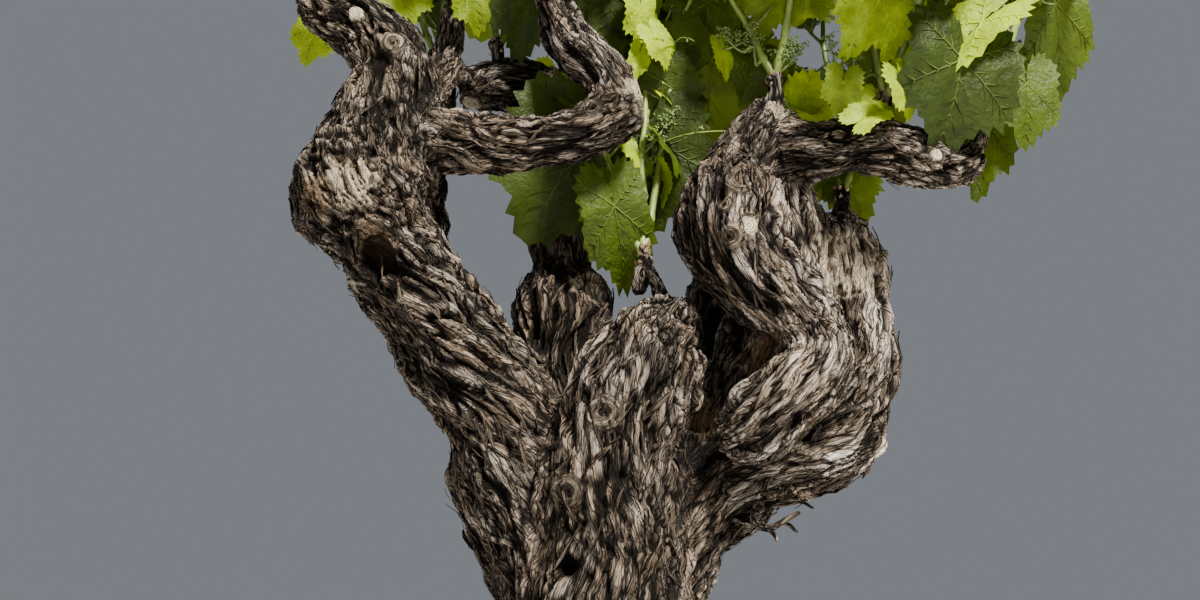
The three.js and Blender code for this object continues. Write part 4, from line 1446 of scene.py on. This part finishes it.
def pixel_of(place):
    """The pixel of the photograph where a place shows."""
    x, y, z = np.asarray(place) - CAMERA_PLACE
    depth = y * math.cos(CAMERA_PITCH) + z * math.sin(CAMERA_PITCH)
    rise = z * math.cos(CAMERA_PITCH) - y * math.sin(CAMERA_PITCH)
    return PHOTO_SIZE[0] / 2 + FOCAL_PIXELS * x / depth, PHOTO_SIZE[1] / 2 - FOCAL_PIXELS * rise / depth


def shows_sky(place):
    px, py = pixel_of(place)
    return any(left < px < right and top < py < bottom for left, top, right, bottom in SKY)


def hides_seen_leaf(heart, width):
    """Whether a leaf would stand in front of one that the photograph shows."""
    px, py = pixel_of(heart)
    for foot, tip, depth, _, _ in SEEN_LEAVES:
        gap = math.hypot(px - (foot[0] + tip[0]) / 2, py - (foot[1] + tip[1]) / 2)
        length = math.dist(foot, tip)
        if gap < 0.45 * length + 0.3 * width and heart[1] < depth + 15:
            return True
    return False


# Leaves clear the bark: their least way from a limb's plain surface, the steps by which a seen leaf moves,
# and the depth before which a seen leaf stands in front of the wood, in millimetres
BARK_CLEARANCE = 11
SEEN_STEP = 9
SEEN_TRIES = 11
FRONT_DEPTH = -20


def bark_gap(leaf):
    """How near a leaf's middle and rim come to a limb's plain surface."""
    return min(wood_gap(place) for place in leaf_places(leaf)[1])


def may_grow(leaf):
    heart, _ = leaf_places(leaf)
    return not (shows_sky(heart) or shows_sky(leaf["foot"] + leaf["midrib"] * leaf["width"] * MIDRIB_SHARE)
                or hides_seen_leaf(heart, leaf["width"]) or bark_gap(leaf) < BARK_CLEARANCE)


# The finer growth that the source leaves out: side shoots, tip leaves and tendrils

SPIRAL_TURN = 2.4
SIDE_CHANCE = 0.75
SIDE_CROWDING = 0.44
SIDE_RADIUS = 2.4
SIDE_TIP_RADIUS = 1.1
SIDE_MARGIN = 1
SIDE_WOOD_GAP = 4
SIDE_NODES = (2, 5)
SIDE_INTERNODE = (16, 30)
SIDE_LEAF_WIDTH = (34, 74)
SIDE_LEAF_LOSS = 0.1
SIDE_LEAF_SHARE = 0.8
SIDE_ZIGZAG = 0.22
SIDE_LIGHT_SEEKING = 0.12
TIP_LEAVES = 5
SIDE_TIP_LEAVES = 3
TIP_LEAF_WIDTH = (14, 30)
TIP_LEAF_DROOP = (-0.9, 0.1)
TIP_LEAF_SHIFT = (-6, 6)
TIP_LEAF_STALK = (5, 12)
REACH_MARGIN = 4


def within_reach(place):
    low, high = cad_bounds
    return all(low[i] / MM - REACH_MARGIN < place[i] < high[i] / MM + REACH_MARGIN for i in range(3))


def is_free(place, name):
    return (in_own_space(place, name, SIDE_MARGIN) and wood_gap(place) > SIDE_WOOD_GAP
            and within_reach(place))


def grow_side_shoot(shoot, node, way, outward, rng, grown):
    """A short side shoot with small leaves, from one node of a shoot."""
    name = shoot["mass"]
    lean = unit(outward * rng.uniform(0.4, 1.0) + UP * rng.uniform(0.1, 0.7) + way * 0.4)
    side = new_shoot(name, [node], (SIDE_RADIUS, SIDE_TIP_RADIUS), shoot["spray"])
    sideways = unit(np.cross(lean, UP) + 1e-6)
    for k in range(rng.integers(*SIDE_NODES)):
        zigzag = SIDE_ZIGZAG if k % 2 else -SIDE_ZIGZAG
        lean = unit(lean + sideways * zigzag + UP * SIDE_LIGHT_SEEKING)
        place = side["line"][-1] + lean * rng.uniform(*SIDE_INTERNODE)
        if not is_free(place, name):
            break
        side["line"].append(place)
        width = rng.uniform(*SIDE_LEAF_WIDTH) * (1 - SIDE_LEAF_LOSS * k)
        for attempt in range(1, LEAF_TRIES + 1):
            leaf = turn_leaf(place, sideways, 1 if k % 2 else -1, width, attempt, rng.random)
            heart, places = leaf_places(leaf)
            is_clear = may_grow(leaf) and all(is_free(p, name) for p in places)
            if is_clear and all(np.linalg.norm(other - heart) > SIDE_CROWDING * width for other in grown):
                side["leaves"].append({**leaf, "root": place, "share": SIDE_LEAF_SHARE})
                grown.append(heart)
                break
    return side if len(side["line"]) > 1 else None


def tip_leaves(shoot, count, rng):
    """The small leaves that unfold round a shoot's tip."""
    if len(shoot["line"]) < 3:
        return []
    tip = shoot["line"][-1]
    way = unit(tip - shoot["line"][-2])
    leaves = []
    for k in range(count):
        turn = k * SPIRAL_TURN
        outward = unit(np.array([math.cos(turn), math.sin(turn), 0.25]))
        width = rng.uniform(*TIP_LEAF_WIDTH)
        droop = rng.uniform(*TIP_LEAF_DROOP)
        midrib = unit(outward * math.cos(droop) - UP * math.sin(droop))
        face = unit(UP * math.cos(droop) + outward * math.sin(droop))
        foot = tip + way * rng.uniform(*TIP_LEAF_SHIFT) + outward * rng.uniform(*TIP_LEAF_STALK)
        leaves.append({"foot": foot, "width": width, "outward": outward, "across": np.cross(midrib, face),
                       "midrib": midrib, "face": face, "root": tip, "share": 1.0})
    return [leaf for leaf in leaves if within_reach(leaf["foot"] + leaf["midrib"] * leaf["width"])
            and bark_gap(leaf) > BARK_CLEARANCE]


def seen_leaf(foot_pixel, tip_pixel, depth, share, tone, sway):
    """A leaf where the photograph shows one, with its face turned roughly to the viewer."""
    lean, turn, nod = sway
    foot, tip = seen_place(foot_pixel, depth), seen_place(tip_pixel, depth + lean)
    midrib = unit(tip - foot)
    lift = 0.9 if tone in ("leaf_fresh_lit", "leaf_young_sunlit") else 0.1
    face = np.array([turn + 0.3 * lift, -1, nod + lift])
    face = unit(face - midrib * (face @ midrib))
    across = np.cross(midrib, face)
    width = np.linalg.norm(tip - foot) / MIDRIB_SHARE
    return {"foot": foot, "width": width, "outward": unit(np.array([0, -0.6, 1])), "across": across * share,
            "midrib": midrib, "face": face, "share": 0.5, "tone": tone}


def clear_seen_leaf(spot, rng):
    """A seen leaf, moved back along its sight line until it clears the bark, or forward if it is in front."""
    foot_pixel, tip_pixel, depth, share, tone = spot
    sway = rng.uniform(-12, 12), rng.uniform(-0.1, 0.3), rng.uniform(-0.2, 0.2)
    away = -SEEN_STEP if depth < FRONT_DEPTH else SEEN_STEP
    tries = [seen_leaf(foot_pixel, tip_pixel, depth + away * i, share, tone, sway) for i in range(SEEN_TRIES)]
    clear = [leaf for leaf in tries if bark_gap(leaf) > BARK_CLEARANCE]
    return clear[0] if clear else max(tries, key=bark_gap)


def nearest_cane(place, shoots):
    """The shoot that passes nearest to a place, and its nearest point."""
    best = None
    for shoot in shoots:
        line, _ = cane_line(shoot)
        gaps = np.linalg.norm(line - place, axis=1) + 1.2 * np.maximum(0, line[:, 2] - place[2] - 20)
        i = int(gaps.argmin())
        if best is None or gaps[i] < best[0]:
            best = (gaps[i], shoot, line[i])
    return best[1:]


# The twigs that bear seen leaves and clusters: their bows, their steps and how far they taper
SEEN_BOW = 5
CLUSTER_BOW = 3
SEEN_STEPS = 4
CLUSTER_TAPER = 0.8


def grow_seen(shoots):
    """Side twigs that bear the leaves and clusters where the photograph shows them."""
    rng = np.random.default_rng(5)
    main = [shoot for shoot in shoots if shoot["radius"][0] == SHOOT_RADIUS]
    for spot in SEEN_LEAVES:
        leaf = clear_seen_leaf(spot, rng)
        cane, start = nearest_cane(leaf["foot"], main)
        reach = leaf["foot"] - start
        stalk = min(PETIOLE_SHARE * leaf["width"], 0.7 * np.linalg.norm(reach))
        leaf["root"] = leaf["foot"] - unit(reach) * stalk
        line = bent_line(start, leaf["root"], UP * SEEN_BOW, SEEN_STEPS)
        shoots.append(new_shoot(cane["mass"], line, (SIDE_RADIUS, SIDE_TIP_RADIUS), cane["spray"], [leaf]))
    for foot_pixel, tip_pixel, depth in SEEN_CLUSTERS:
        foot, tip = seen_place(foot_pixel, depth), seen_place(tip_pixel, depth - 4)
        cane, start = nearest_cane(foot, main)
        line = bent_line(start, foot, UP * CLUSTER_BOW, SEEN_STEPS)
        radius = (SIDE_RADIUS, SIDE_RADIUS * CLUSTER_TAPER)
        shoots.append(new_shoot(cane["mass"], line, radius, cane["spray"], clusters=[(foot, tip)]))


def grow_foliage():
    """Every shoot of every mass, with its side shoots."""
    shoots = []
    for index, (name, (_, seed, stem, specs)) in enumerate(MASSES.items()):
        roll = dice(seed)
        rng = np.random.default_rng(100 + index)
        grown = []
        foot, head = (np.array(end[:3], float) for end in stem)
        main = [grow_shoot(name, foot + (head - foot) * (1 - FOOT_STEP * i), spec, 3 * index + i, roll, grown)
                for i, spec in enumerate(specs)]
        for shoot in main:
            shoot["leaves"] = [leaf for leaf in shoot["leaves"] if may_grow(leaf)]
            shoot["leaves"] += tip_leaves(shoot, TIP_LEAVES, rng)
            shoots.append(shoot)
            for node, way, outward, _ in shoot["nodes"][1:]:
                if rng.random() > SIDE_CHANCE:
                    continue
                side = grow_side_shoot(shoot, node, way, outward, rng, grown)
                if side:
                    side["leaves"] += tip_leaves(side, SIDE_TIP_LEAVES, rng)
                    shoots.append(side)
    grow_seen(shoots)
    return shoots


# Leaf shapes in midrib lengths: across, along and up

LOBES = ((0, 1.0), (10, 0.94), (22, 0.82), (31, 0.78), (44, 0.86), (57, 0.93), (68, 0.87), (80, 0.76),
         (91, 0.74), (104, 0.79), (116, 0.82), (130, 0.75), (146, 0.66), (160, 0.50), (171, 0.32),
         (180, 0.12))
VEIN_ANGLES = (0, 57, -57, 116, -116)
LARGE_RIM = 64
SMALL_RIM = 32
LARGE_LEAF = 45
VEINED_LEAF = 62
TOOTH = 0.062
LEAF_KINDS = 8
SIDE_VEIN_TURN = 42
VEIN_LIFT = 0.011


def lobe_reach(degrees):
    angles, reaches = zip(*LOBES)
    return np.interp(np.abs(degrees), angles, reaches)


def blade_height(u, v, kind):
    """How far a blade stands up from its flat outline."""
    rng = np.random.default_rng(kind)
    fold, cup, tip_curl, wave, phase = (rng.uniform(*r) for r in (
        (0.02, 0.26), (0.04, 0.26), (0.0, 0.25), (0.02, 0.06), (0, 6)))
    far = np.hypot(u, v)
    angle = np.degrees(np.arctan2(u, v))
    nearest = np.min([np.abs(angle - a) for a in VEIN_ANGLES], axis=0)
    quilt = 0.06 * smooth(0, 26, nearest) * far
    ripple = wave * np.sin(np.radians(angle) * 6 + phase) * far**2
    return fold * np.abs(u) - cup * far**2 - tip_curl * np.maximum(v, 0) ** 2 + quilt + ripple


def blade_shape(kind, rim):
    """A lobed, toothed blade as unit vertices and triangles."""
    rng = np.random.default_rng(900 + kind)
    degrees = np.linspace(-178, 178, rim)
    tooth = np.where(np.arange(rim) % 2, 1, -0.7) * TOOTH * rng.uniform(0.5, 1.3, rim)
    reach = lobe_reach(degrees) * rng.uniform(0.97, 1.03, rim)
    rings = [(degrees, reach + tooth * smooth(0.1, 0.4, reach)),
             (degrees[::2], lobe_reach(degrees[::2]) * 0.66), (degrees[::4], lobe_reach(degrees[::4]) * 0.33)]
    flat = [np.stack([np.sin(np.radians(a)) * r, np.cos(np.radians(a)) * r], 1) for a, r in rings]
    flat.append(np.zeros((1, 2)))
    starts = np.cumsum([0] + [len(ring) for ring in flat])
    faces = []
    for level in range(2):
        outer, inner = starts[level], starts[level + 1]
        count = len(flat[level + 1])
        for i in range(count - 1):
            a, b, c = outer + 2 * i, outer + 2 * i + 1, outer + 2 * i + 2
            faces += [[inner + i, a, b], [inner + i, b, inner + i + 1], [inner + i + 1, b, c]]
        faces.append([inner + count - 1, outer + 2 * count - 2, outer + 2 * count - 1])
    centre, inner = starts[3], starts[2]
    faces += [[centre, inner + i, inner + i + 1] for i in range(len(flat[2]) - 1)]
    u, v = np.vstack(flat).T
    return np.stack([u, v, blade_height(u, v, kind)], 1), np.array(faces)


def vein_lines(has_branches):
    """Flat lines of the main veins and their branches, with the widths of their feet."""
    lines = []
    for angle in VEIN_ANGLES:
        length = float(lobe_reach(angle)) * 0.96
        way = np.array([math.sin(math.radians(angle)), math.cos(math.radians(angle))])
        steps = (0, 0.34, 0.68, 1) if has_branches else (0, 0.68, 1)
        lines.append((np.outer(steps, way * length), 0.024))
        for share in (0.22, 0.42, 0.6, 0.78) if has_branches else ():
            for hand in (1, -1):
                turn = math.radians(angle + hand * SIDE_VEIN_TURN)
                start = way * length * share
                ahead = np.array([math.sin(turn), math.cos(turn)])
                lines.append((np.array([start, start + ahead * length * (0.5 - 0.4 * share)]), 0.013))
    return lines


def vein_shape(kind, has_branches):
    """The veins as slim ridges that taper to a point and show on both faces of the blade."""
    vertices, faces = [], []
    for line, wide in vein_lines(has_branches):
        base, count = len(vertices), len(line)
        way = unit(line[-1] - line[0])
        side = np.array([way[1], -way[0]])
        for i, at in enumerate(line[:-1]):
            half = wide * (1 - i / (count - 1)) / 2
            height = float(blade_height(at[:1], at[1:], kind)[0])
            vertices += [[*(at + side * half), height + VEIN_LIFT], [*(at - side * half), height + VEIN_LIFT],
                         [*at, height - half - VEIN_LIFT]]
        vertices.append([*line[-1], float(blade_height(line[-1][:1], line[-1][1:], kind)[0])])
        faces += band_faces(base, count - 1, 3)
        last, tip = base + 3 * (count - 2), len(vertices) - 1
        faces += [[last + j, last + (j + 1) % 3, tip] for j in range(3)]
    return np.array(vertices), np.array(faces)


def add_leaf(builder, leaf, kind, tone, shapes):
    """A blade with its veins, in one tone."""
    blades, veins = shapes
    shape, faces = blades[int(leaf["width"] > LARGE_LEAF)][kind]
    builder.add(place_shape(shape, leaf), faces, tone)
    shape, faces = veins[int(leaf["width"] > VEINED_LEAF)][kind]
    builder.add(place_shape(shape, leaf), faces, tone + len(LEAF_TONES))


def pipe(line, radii, sides):
    """A slim closed tube along a line."""
    line = np.asarray(line, float)
    radii = np.broadcast_to(radii, len(line))
    along = np.gradient(line, axis=0)
    along /= np.linalg.norm(along, axis=1, keepdims=True)
    side = np.cross(along[0], [0.3, 0.9, 0.31])
    turns = np.arange(sides) * 2 * math.pi / sides
    rows = []
    for place, way, radius in zip(line, along, radii):
        side = unit(side - way * (side @ way))
        other = np.cross(way, side)
        rows.append(place + radius * (np.outer(np.cos(turns), side) + np.outer(np.sin(turns), other)))
    faces = band_faces(0, len(line), sides)
    for ring, is_end in ((0, False), ((len(line) - 1) * sides, True)):
        for j in range(1, sides - 1):
            faces.append([ring, ring + j, ring + j + 1] if is_end else [ring, ring + j + 1, ring + j])
    return np.vstack(rows), faces


def bent_line(start, end, bow, count=6):
    """A line between two places that bows by a given vector at its middle."""
    share = np.linspace(0, 1, count)[:, None]
    return start + (end - start) * share + bow * (4 * share * (1 - share))


def place_shape(shape, leaf):
    size = leaf["width"] * MIDRIB_SHARE
    return leaf["foot"] + (shape[:, :1] * leaf["across"] + shape[:, 1:2] * leaf["midrib"]
                           + shape[:, 2:] * leaf["face"]) * size


CANE_STEPS = 5
CANE_SIDES = 8
TWIG_SIDES = 5
STALK_SIDES = 4
STALK_RADII = (1.9, 1.35)


def cane_line(shoot):
    """A shoot's own line, made finer, with a slight swelling at each node."""
    nodes = np.array(shoot["line"])
    if len(nodes) < 3:
        fine = np.linspace(nodes[0], nodes[-1], 6)
        return fine, np.linspace(*shoot["radius"], 6)
    steps = (len(nodes) - 1) * CANE_STEPS + 1
    t = np.linspace(0, 1, steps)
    line = catmull(nodes, t)
    first, last = shoot["radius"]
    taper = first + (last - first) * t
    return line, taper * (1 + 0.3 * (np.arange(steps) % CANE_STEPS == 0))


TENDRIL_CHANCE = 0.55
TENDRIL_STEM = (24, 45)
TENDRIL_STEM_RADII = (1.3, 0.9)
TENDRIL_ARM = (25, 55)
TENDRIL_ARM_RADII = (0.9, 0.45)
TENDRIL_ARM_STEPS = 13
TENDRIL_COIL = (2.0, 4.5)
TENDRIL_TURNS = (1.0, 2.6)
TENDRIL_SAG = 12
CLUSTER_BRANCHES = 14
BRANCH_BUDS = 9
BUD_SCALES = 6


def add_tendril(builder, node, outward, rng):
    """A forked tendril that reaches out and coils at its ends."""
    ahead = unit(-outward + UP * rng.uniform(-0.1, 0.7))
    side = unit(np.cross(ahead, UP))
    stem_length = rng.uniform(*TENDRIL_STEM)
    fork = node + ahead * stem_length + UP * rng.uniform(-4, 8)
    stem = bent_line(node, fork, UP * rng.uniform(-5, 5))
    builder.add(*pipe(stem, np.linspace(*TENDRIL_STEM_RADII, len(stem)), 4))
    for hand in (-1, 1):
        way = unit(ahead + side * hand * rng.uniform(0.3, 0.7))
        length = rng.uniform(*TENDRIL_ARM)
        t = np.linspace(0, 1, TENDRIL_ARM_STEPS)
        coil = rng.uniform(*TENDRIL_COIL)
        turns = rng.uniform(*TENDRIL_TURNS) * 2 * math.pi
        angle = turns * t**2.5
        reach = length * t**0.8
        swing = coil * t**1.5
        line = (fork + np.outer(reach, way) + np.outer(swing * np.sin(angle), UP)
                + np.outer(swing * (1 - np.cos(angle)), side * hand) - np.outer(TENDRIL_SAG * t**2, UP))
        if within_reach(line[-1]):
            builder.add(*pipe(line, np.linspace(*TENDRIL_ARM_RADII, len(line)), 3))


def ball_shape():
    vertices = np.array([[1, 0, 0], [-1, 0, 0], [0, 1, 0], [0, -1, 0], [0, 0, 1], [0, 0, -1]], float)
    faces = [[0, 2, 4], [2, 1, 4], [1, 3, 4], [3, 0, 4], [2, 0, 5], [1, 2, 5], [3, 1, 5], [0, 3, 5]]
    return vertices, np.array(faces)


def add_cluster(builder, node, tip, rng):
    """A young flower cluster: a stalk with branches of green beads."""
    ball, ball_faces = ball_shape()
    stalk = bent_line(node, tip, np.array([0, 0, -5.0]), 9)
    builder.add(*pipe(stalk, np.linspace(1.6, 0.7, 9), 5))
    for level in range(CLUSTER_BRANCHES):
        share = 0.3 + 0.7 * level / (CLUSTER_BRANCHES - 1)
        base = node + (tip - node) * share
        turn = level * SPIRAL_TURN
        out = unit(np.array([math.cos(turn), math.sin(turn), 0.35]))
        length = 15 * (1.12 - share) + 3
        builder.add(*pipe(bent_line(base, base + out * length, UP * 1.0, 3), np.linspace(0.6, 0.4, 3), 3))
        for _ in range(BRANCH_BUDS):
            along = rng.uniform(0.35, 1.1)
            jitter = rng.normal(size=3) * 1.9
            builder.add(base + out * length * along + jitter + ball * rng.uniform(1.1, 1.7), ball_faces)


def add_bud_scales(builder, foot, rng):
    """The dry brown scales round the foot of a shoot."""
    for k in range(BUD_SCALES):
        turn = k * 1.05 + rng.uniform(0, 0.5)
        out = np.array([math.cos(turn), math.sin(turn), 0])
        side = np.cross(UP, out)
        base = foot + out * 4.5 - UP * rng.uniform(1, 6)
        tip = base + out * rng.uniform(2, 6) + UP * rng.uniform(5, 11)
        wide = rng.uniform(2.2, 3.6)
        middle = (base + tip) / 2 + out * 1.2
        rows = [base, middle + side * wide, tip, middle - side * wide, middle + out * 1.1]
        builder.add(rows, [[0, 1, 4], [1, 2, 4], [2, 3, 4], [3, 0, 4]])


def leaf_tone(leaf, shoot):
    """Which leaf material a leaf takes: the tone is dealt to its spray, and young leaves are paler, partly
    their own colour and partly painted sunlight.
    """
    if "tone" in leaf:
        return list(LEAF_TONES).index(leaf["tone"])
    return min(3, shoot["spray"] * 7 % 3 + (1 if leaf["share"] > 0.75 else 0))


FOLIAGE_PIECES = {
    "left": ["left_tip_foliage", "left_neck_foliage"],
    "rear": ["rear_left_foliage", "rear_right_foliage", "fork_foliage"],
    "middle": ["riser_foliage", "centre_foliage", "middle_foliage"],
    "right": ["stub_foliage", "right_crown_foliage", "right_tip_foliage", "right_shoulder_foliage"],
}


# Front colour of every leaf tone, and the colour of the light that comes through it; the tones run from
# leaves darkened with painted shade to leaves brightened with painted sunlight, over the leaves' own spread
# of greens
LEAF_TONES = {
    "leaf_deep_shaded": ((0.014, 0.024, 0.001), (0.058, 0.084, 0.001)),
    "leaf_full_half_shaded": ((0.026, 0.043, 0.001), (0.095, 0.128, 0.001)),
    "leaf_fresh_lit": ((0.078, 0.115, 0.002), (0.20, 0.255, 0.002)),
    "leaf_young_sunlit": ((0.17, 0.24, 0.004), (0.34, 0.43, 0.006)),
}

# Low and high colours of the canes, the flower buds and the bud scales
CANE_GREEN = ((0.040, 0.062, 0.010), (0.10, 0.135, 0.020))
BUD_GREEN = ((0.030, 0.055, 0.012), (0.085, 0.12, 0.022))
SCALE_BROWN = ((0.05, 0.026, 0.014), (0.17, 0.105, 0.058))
BUD_STREAKS = 200

# A leaf's patterns, in repeats a metre, and how much of it lets light through
MOTTLE_SCALE = 55
PUCKER_SCALE = 110
NET_SCALE = 190
GLOW_SHARE = 0.45

# The veins' colours against their blade's
VEIN_GAIN = 1.5
VEIN_EXTRA = (0.025, 0.028, 0.008)


def leaf_material(name, front, through):
    """A soft young leaf: mottled, finely veined, and glowing where light comes through it."""
    material, tree, shader = node_material(name, 0.55, 0.14)
    coordinates = tree.nodes.new("ShaderNodeTexCoord").outputs["Object"]
    mottle = pattern(tree, coordinates, (MOTTLE_SCALE,) * 3, 4)
    low = tuple(c * 0.66 for c in front)
    high = tuple(min(1, c * 1.35) for c in front)
    link(tree, ramp(tree, mottle, [(0.3, low), (0.7, high)]), shader.inputs["Base Color"])
    _, edge = cell_pattern(tree, coordinates, (NET_SCALE,) * 3)
    puckers = pattern(tree, coordinates, (PUCKER_SCALE,) * 3, 2)
    bump(tree, shader, weighted_sum(tree, 0.0, [(edge, 0.5), (puckers, 1.6)]), 0.6, 2.2)
    glow = tree.nodes.new("ShaderNodeBsdfTranslucent")
    low = tuple(c * 0.72 for c in through)
    link(tree, ramp(tree, mottle, [(0.3, low), (0.7, through)]), glow.inputs["Color"])
    mix = tree.nodes.new("ShaderNodeMixShader")
    mix.inputs["Fac"].default_value = GLOW_SHARE
    link(tree, shader.outputs["BSDF"], mix.inputs[1])
    link(tree, glow.outputs["BSDF"], mix.inputs[2])
    link(tree, mix.outputs["Shader"], tree.nodes["Material Output"].inputs["Surface"])
    return material


def stalk_material(name, low, high, scale=60, roughness=0.5):
    """Green or brown stalks with soft streaks."""
    material, tree, shader = node_material(name, roughness, 0.35)
    coordinates = tree.nodes.new("ShaderNodeTexCoord").outputs["Object"]
    streak = pattern(tree, coordinates, (scale * 4, scale * 4, scale), 4)
    link(tree, ramp(tree, streak, [(0.32, low), (0.68, high)]), shader.inputs["Base Color"])
    bump(tree, shader, streak, 0.3, 0.6)
    return material


def leaf_materials():
    """Every tone's blade, then every tone's veins."""
    blades = [leaf_material(name, *colours) for name, colours in LEAF_TONES.items()]
    veins = []
    for name, colours in LEAF_TONES.items():
        paler = [tuple(min(0.9, VEIN_GAIN * c + more) for c, more in zip(colour, VEIN_EXTRA))
                 for colour in colours]
        veins.append(leaf_material(name + "_vein", *paler))
    return blades + veins


def leaf_shapes():
    """Blades and veins of every kind, small and large."""
    blades = [[blade_shape(kind, rim) for kind in range(LEAF_KINDS)] for rim in (SMALL_RIM, LARGE_RIM)]
    veins = [[vein_shape(kind, is_large) for kind in range(LEAF_KINDS)] for is_large in (False, True)]
    return blades, veins


def dress_shoot(shoot, builders, shapes, rng):
    """Adds one shoot with its leaves, tendrils, flower buds and bud scales."""
    leaves, stalks, flowers, scales = builders
    is_main = shoot["radius"][0] == SHOOT_RADIUS
    line, radii = cane_line(shoot)
    stalks.add(*pipe(line, radii, CANE_SIDES if is_main else TWIG_SIDES))
    if is_main:
        add_bud_scales(scales, shoot["line"][0], rng)
    for node, _, outward, _ in shoot["nodes"][3:] if is_main else ():
        if rng.random() < TENDRIL_CHANCE:
            add_tendril(stalks, node, outward, rng)
    for node, tip in shoot["clusters"]:
        add_cluster(flowers, node, tip, rng)
    for leaf in shoot["leaves"]:
        add_leaf(leaves, leaf, int(rng.integers(LEAF_KINDS)), leaf_tone(leaf, shoot), shapes)
        stalk = bent_line(leaf["root"], leaf["foot"], -UP * leaf["width"] * 0.03, 5)
        stalk_radii = np.linspace(*STALK_RADII, 5) * min(1, leaf["width"] / 70 + 0.25)
        stalks.add(*pipe(stalk, stalk_radii, STALK_SIDES))


def make_foliage():
    """Grows the foliage and joins it, each kind apart, into one set of pieces for each side."""
    shoots = grow_foliage()
    shapes = leaf_shapes()
    leaf_kinds = leaf_materials()
    cane_green = stalk_material("cane_green", *CANE_GREEN)
    bud_green = stalk_material("bud_green", *BUD_GREEN, BUD_STREAKS)
    scale_brown = stalk_material("bud_scale", *SCALE_BROWN)
    rng = np.random.default_rng(7)
    for side, names in FOLIAGE_PIECES.items():
        builders = leaves, stalks, flowers, scales = [Builder() for _ in range(4)]
        for shoot in [shoot for shoot in shoots if shoot["mass"] in names]:
            dress_shoot(shoot, builders, shapes, rng)
        leaves.make("leaves_" + side, leaf_kinds, names)
        stalks.make("shoots_" + side, [cane_green])
        scales.make("bud_scales_" + side, [scale_brown], slot="bark")
        if flowers.count:
            flowers.make("flower_buds_" + side, [bud_green])


# Stage


FLOOR_REACH = 9000
FLOOR_COLOUR = (0.62, 0.61, 0.59, 1)
SKY_COLOUR = (0.80, 0.86, 0.95, 1)
SKY_STRENGTH = 0.25

# Studio lights in metres: place, target, size, power and colour
LIGHTS = {
    "key": ((1.75, -2.9, 4.2), (0.05, 0, 0.6), 0.9, 2300, (1.0, 0.95, 0.86)),
    "fill": ((-3.0, -2.6, 1.4), (0, 0, 0.5), 2.5, 10, (0.9, 0.95, 1.0)),
    "back": ((-1.6, 3.4, 3.0), (0, 0, 0.6), 2.5, 260, (0.95, 0.97, 1.0)),
}


def make_stage():
    """A plain pale floor and a pale, even sky."""
    corners = [[x * FLOOR_REACH, y * FLOOR_REACH, 0] for x, y in ((-1, -1), (1, -1), (1, 1), (-1, 1))]
    floor = mesh_object("floor", corners, [[0, 1, 2, 3]])
    material, _, shader = node_material("pale_floor", 0.8, 0.2)
    shader.inputs["Base Color"].default_value = FLOOR_COLOUR
    floor.data.materials.append(material)
    world = bpy.data.worlds.new("studio")
    world.use_nodes = True
    background = world.node_tree.nodes["Background"]
    background.inputs["Color"].default_value = SKY_COLOUR
    background.inputs["Strength"].default_value = SKY_STRENGTH
    bpy.context.scene.world = world


def area_light(name, place, target, size, power, colour):
    light = bpy.data.lights.new(name, "AREA")
    light.shape = "DISK"
    light.size = size
    light.energy = power
    light.color = colour
    obj = bpy.data.objects.new(name, light)
    obj.location = place
    way = Vector(target) - Vector(place)
    obj.rotation_mode = "QUATERNION"
    obj.rotation_quaternion = way.to_track_quat("-Z", "Y")
    bpy.context.scene.collection.objects.link(obj)


def make_lights():
    """A wide key light from the upper right, a weak fill and a soft light from behind."""
    for name, values in LIGHTS.items():
        area_light(name, *values)


def make_camera():
    camera = bpy.data.cameras.new("camera")
    camera.lens = LENS
    camera.sensor_width = SENSOR
    camera.clip_start = 0.02
    obj = bpy.data.objects.new("camera", camera)
    obj.location = Vector(CAMERA_PLACE) * MM
    obj.rotation_euler = (math.pi / 2 + CAMERA_PITCH, 0, 0)
    bpy.context.scene.collection.objects.link(obj)
    bpy.context.scene.camera = obj


make_camera()
make_stage()
make_lights()
make_bark()
make_foliage()
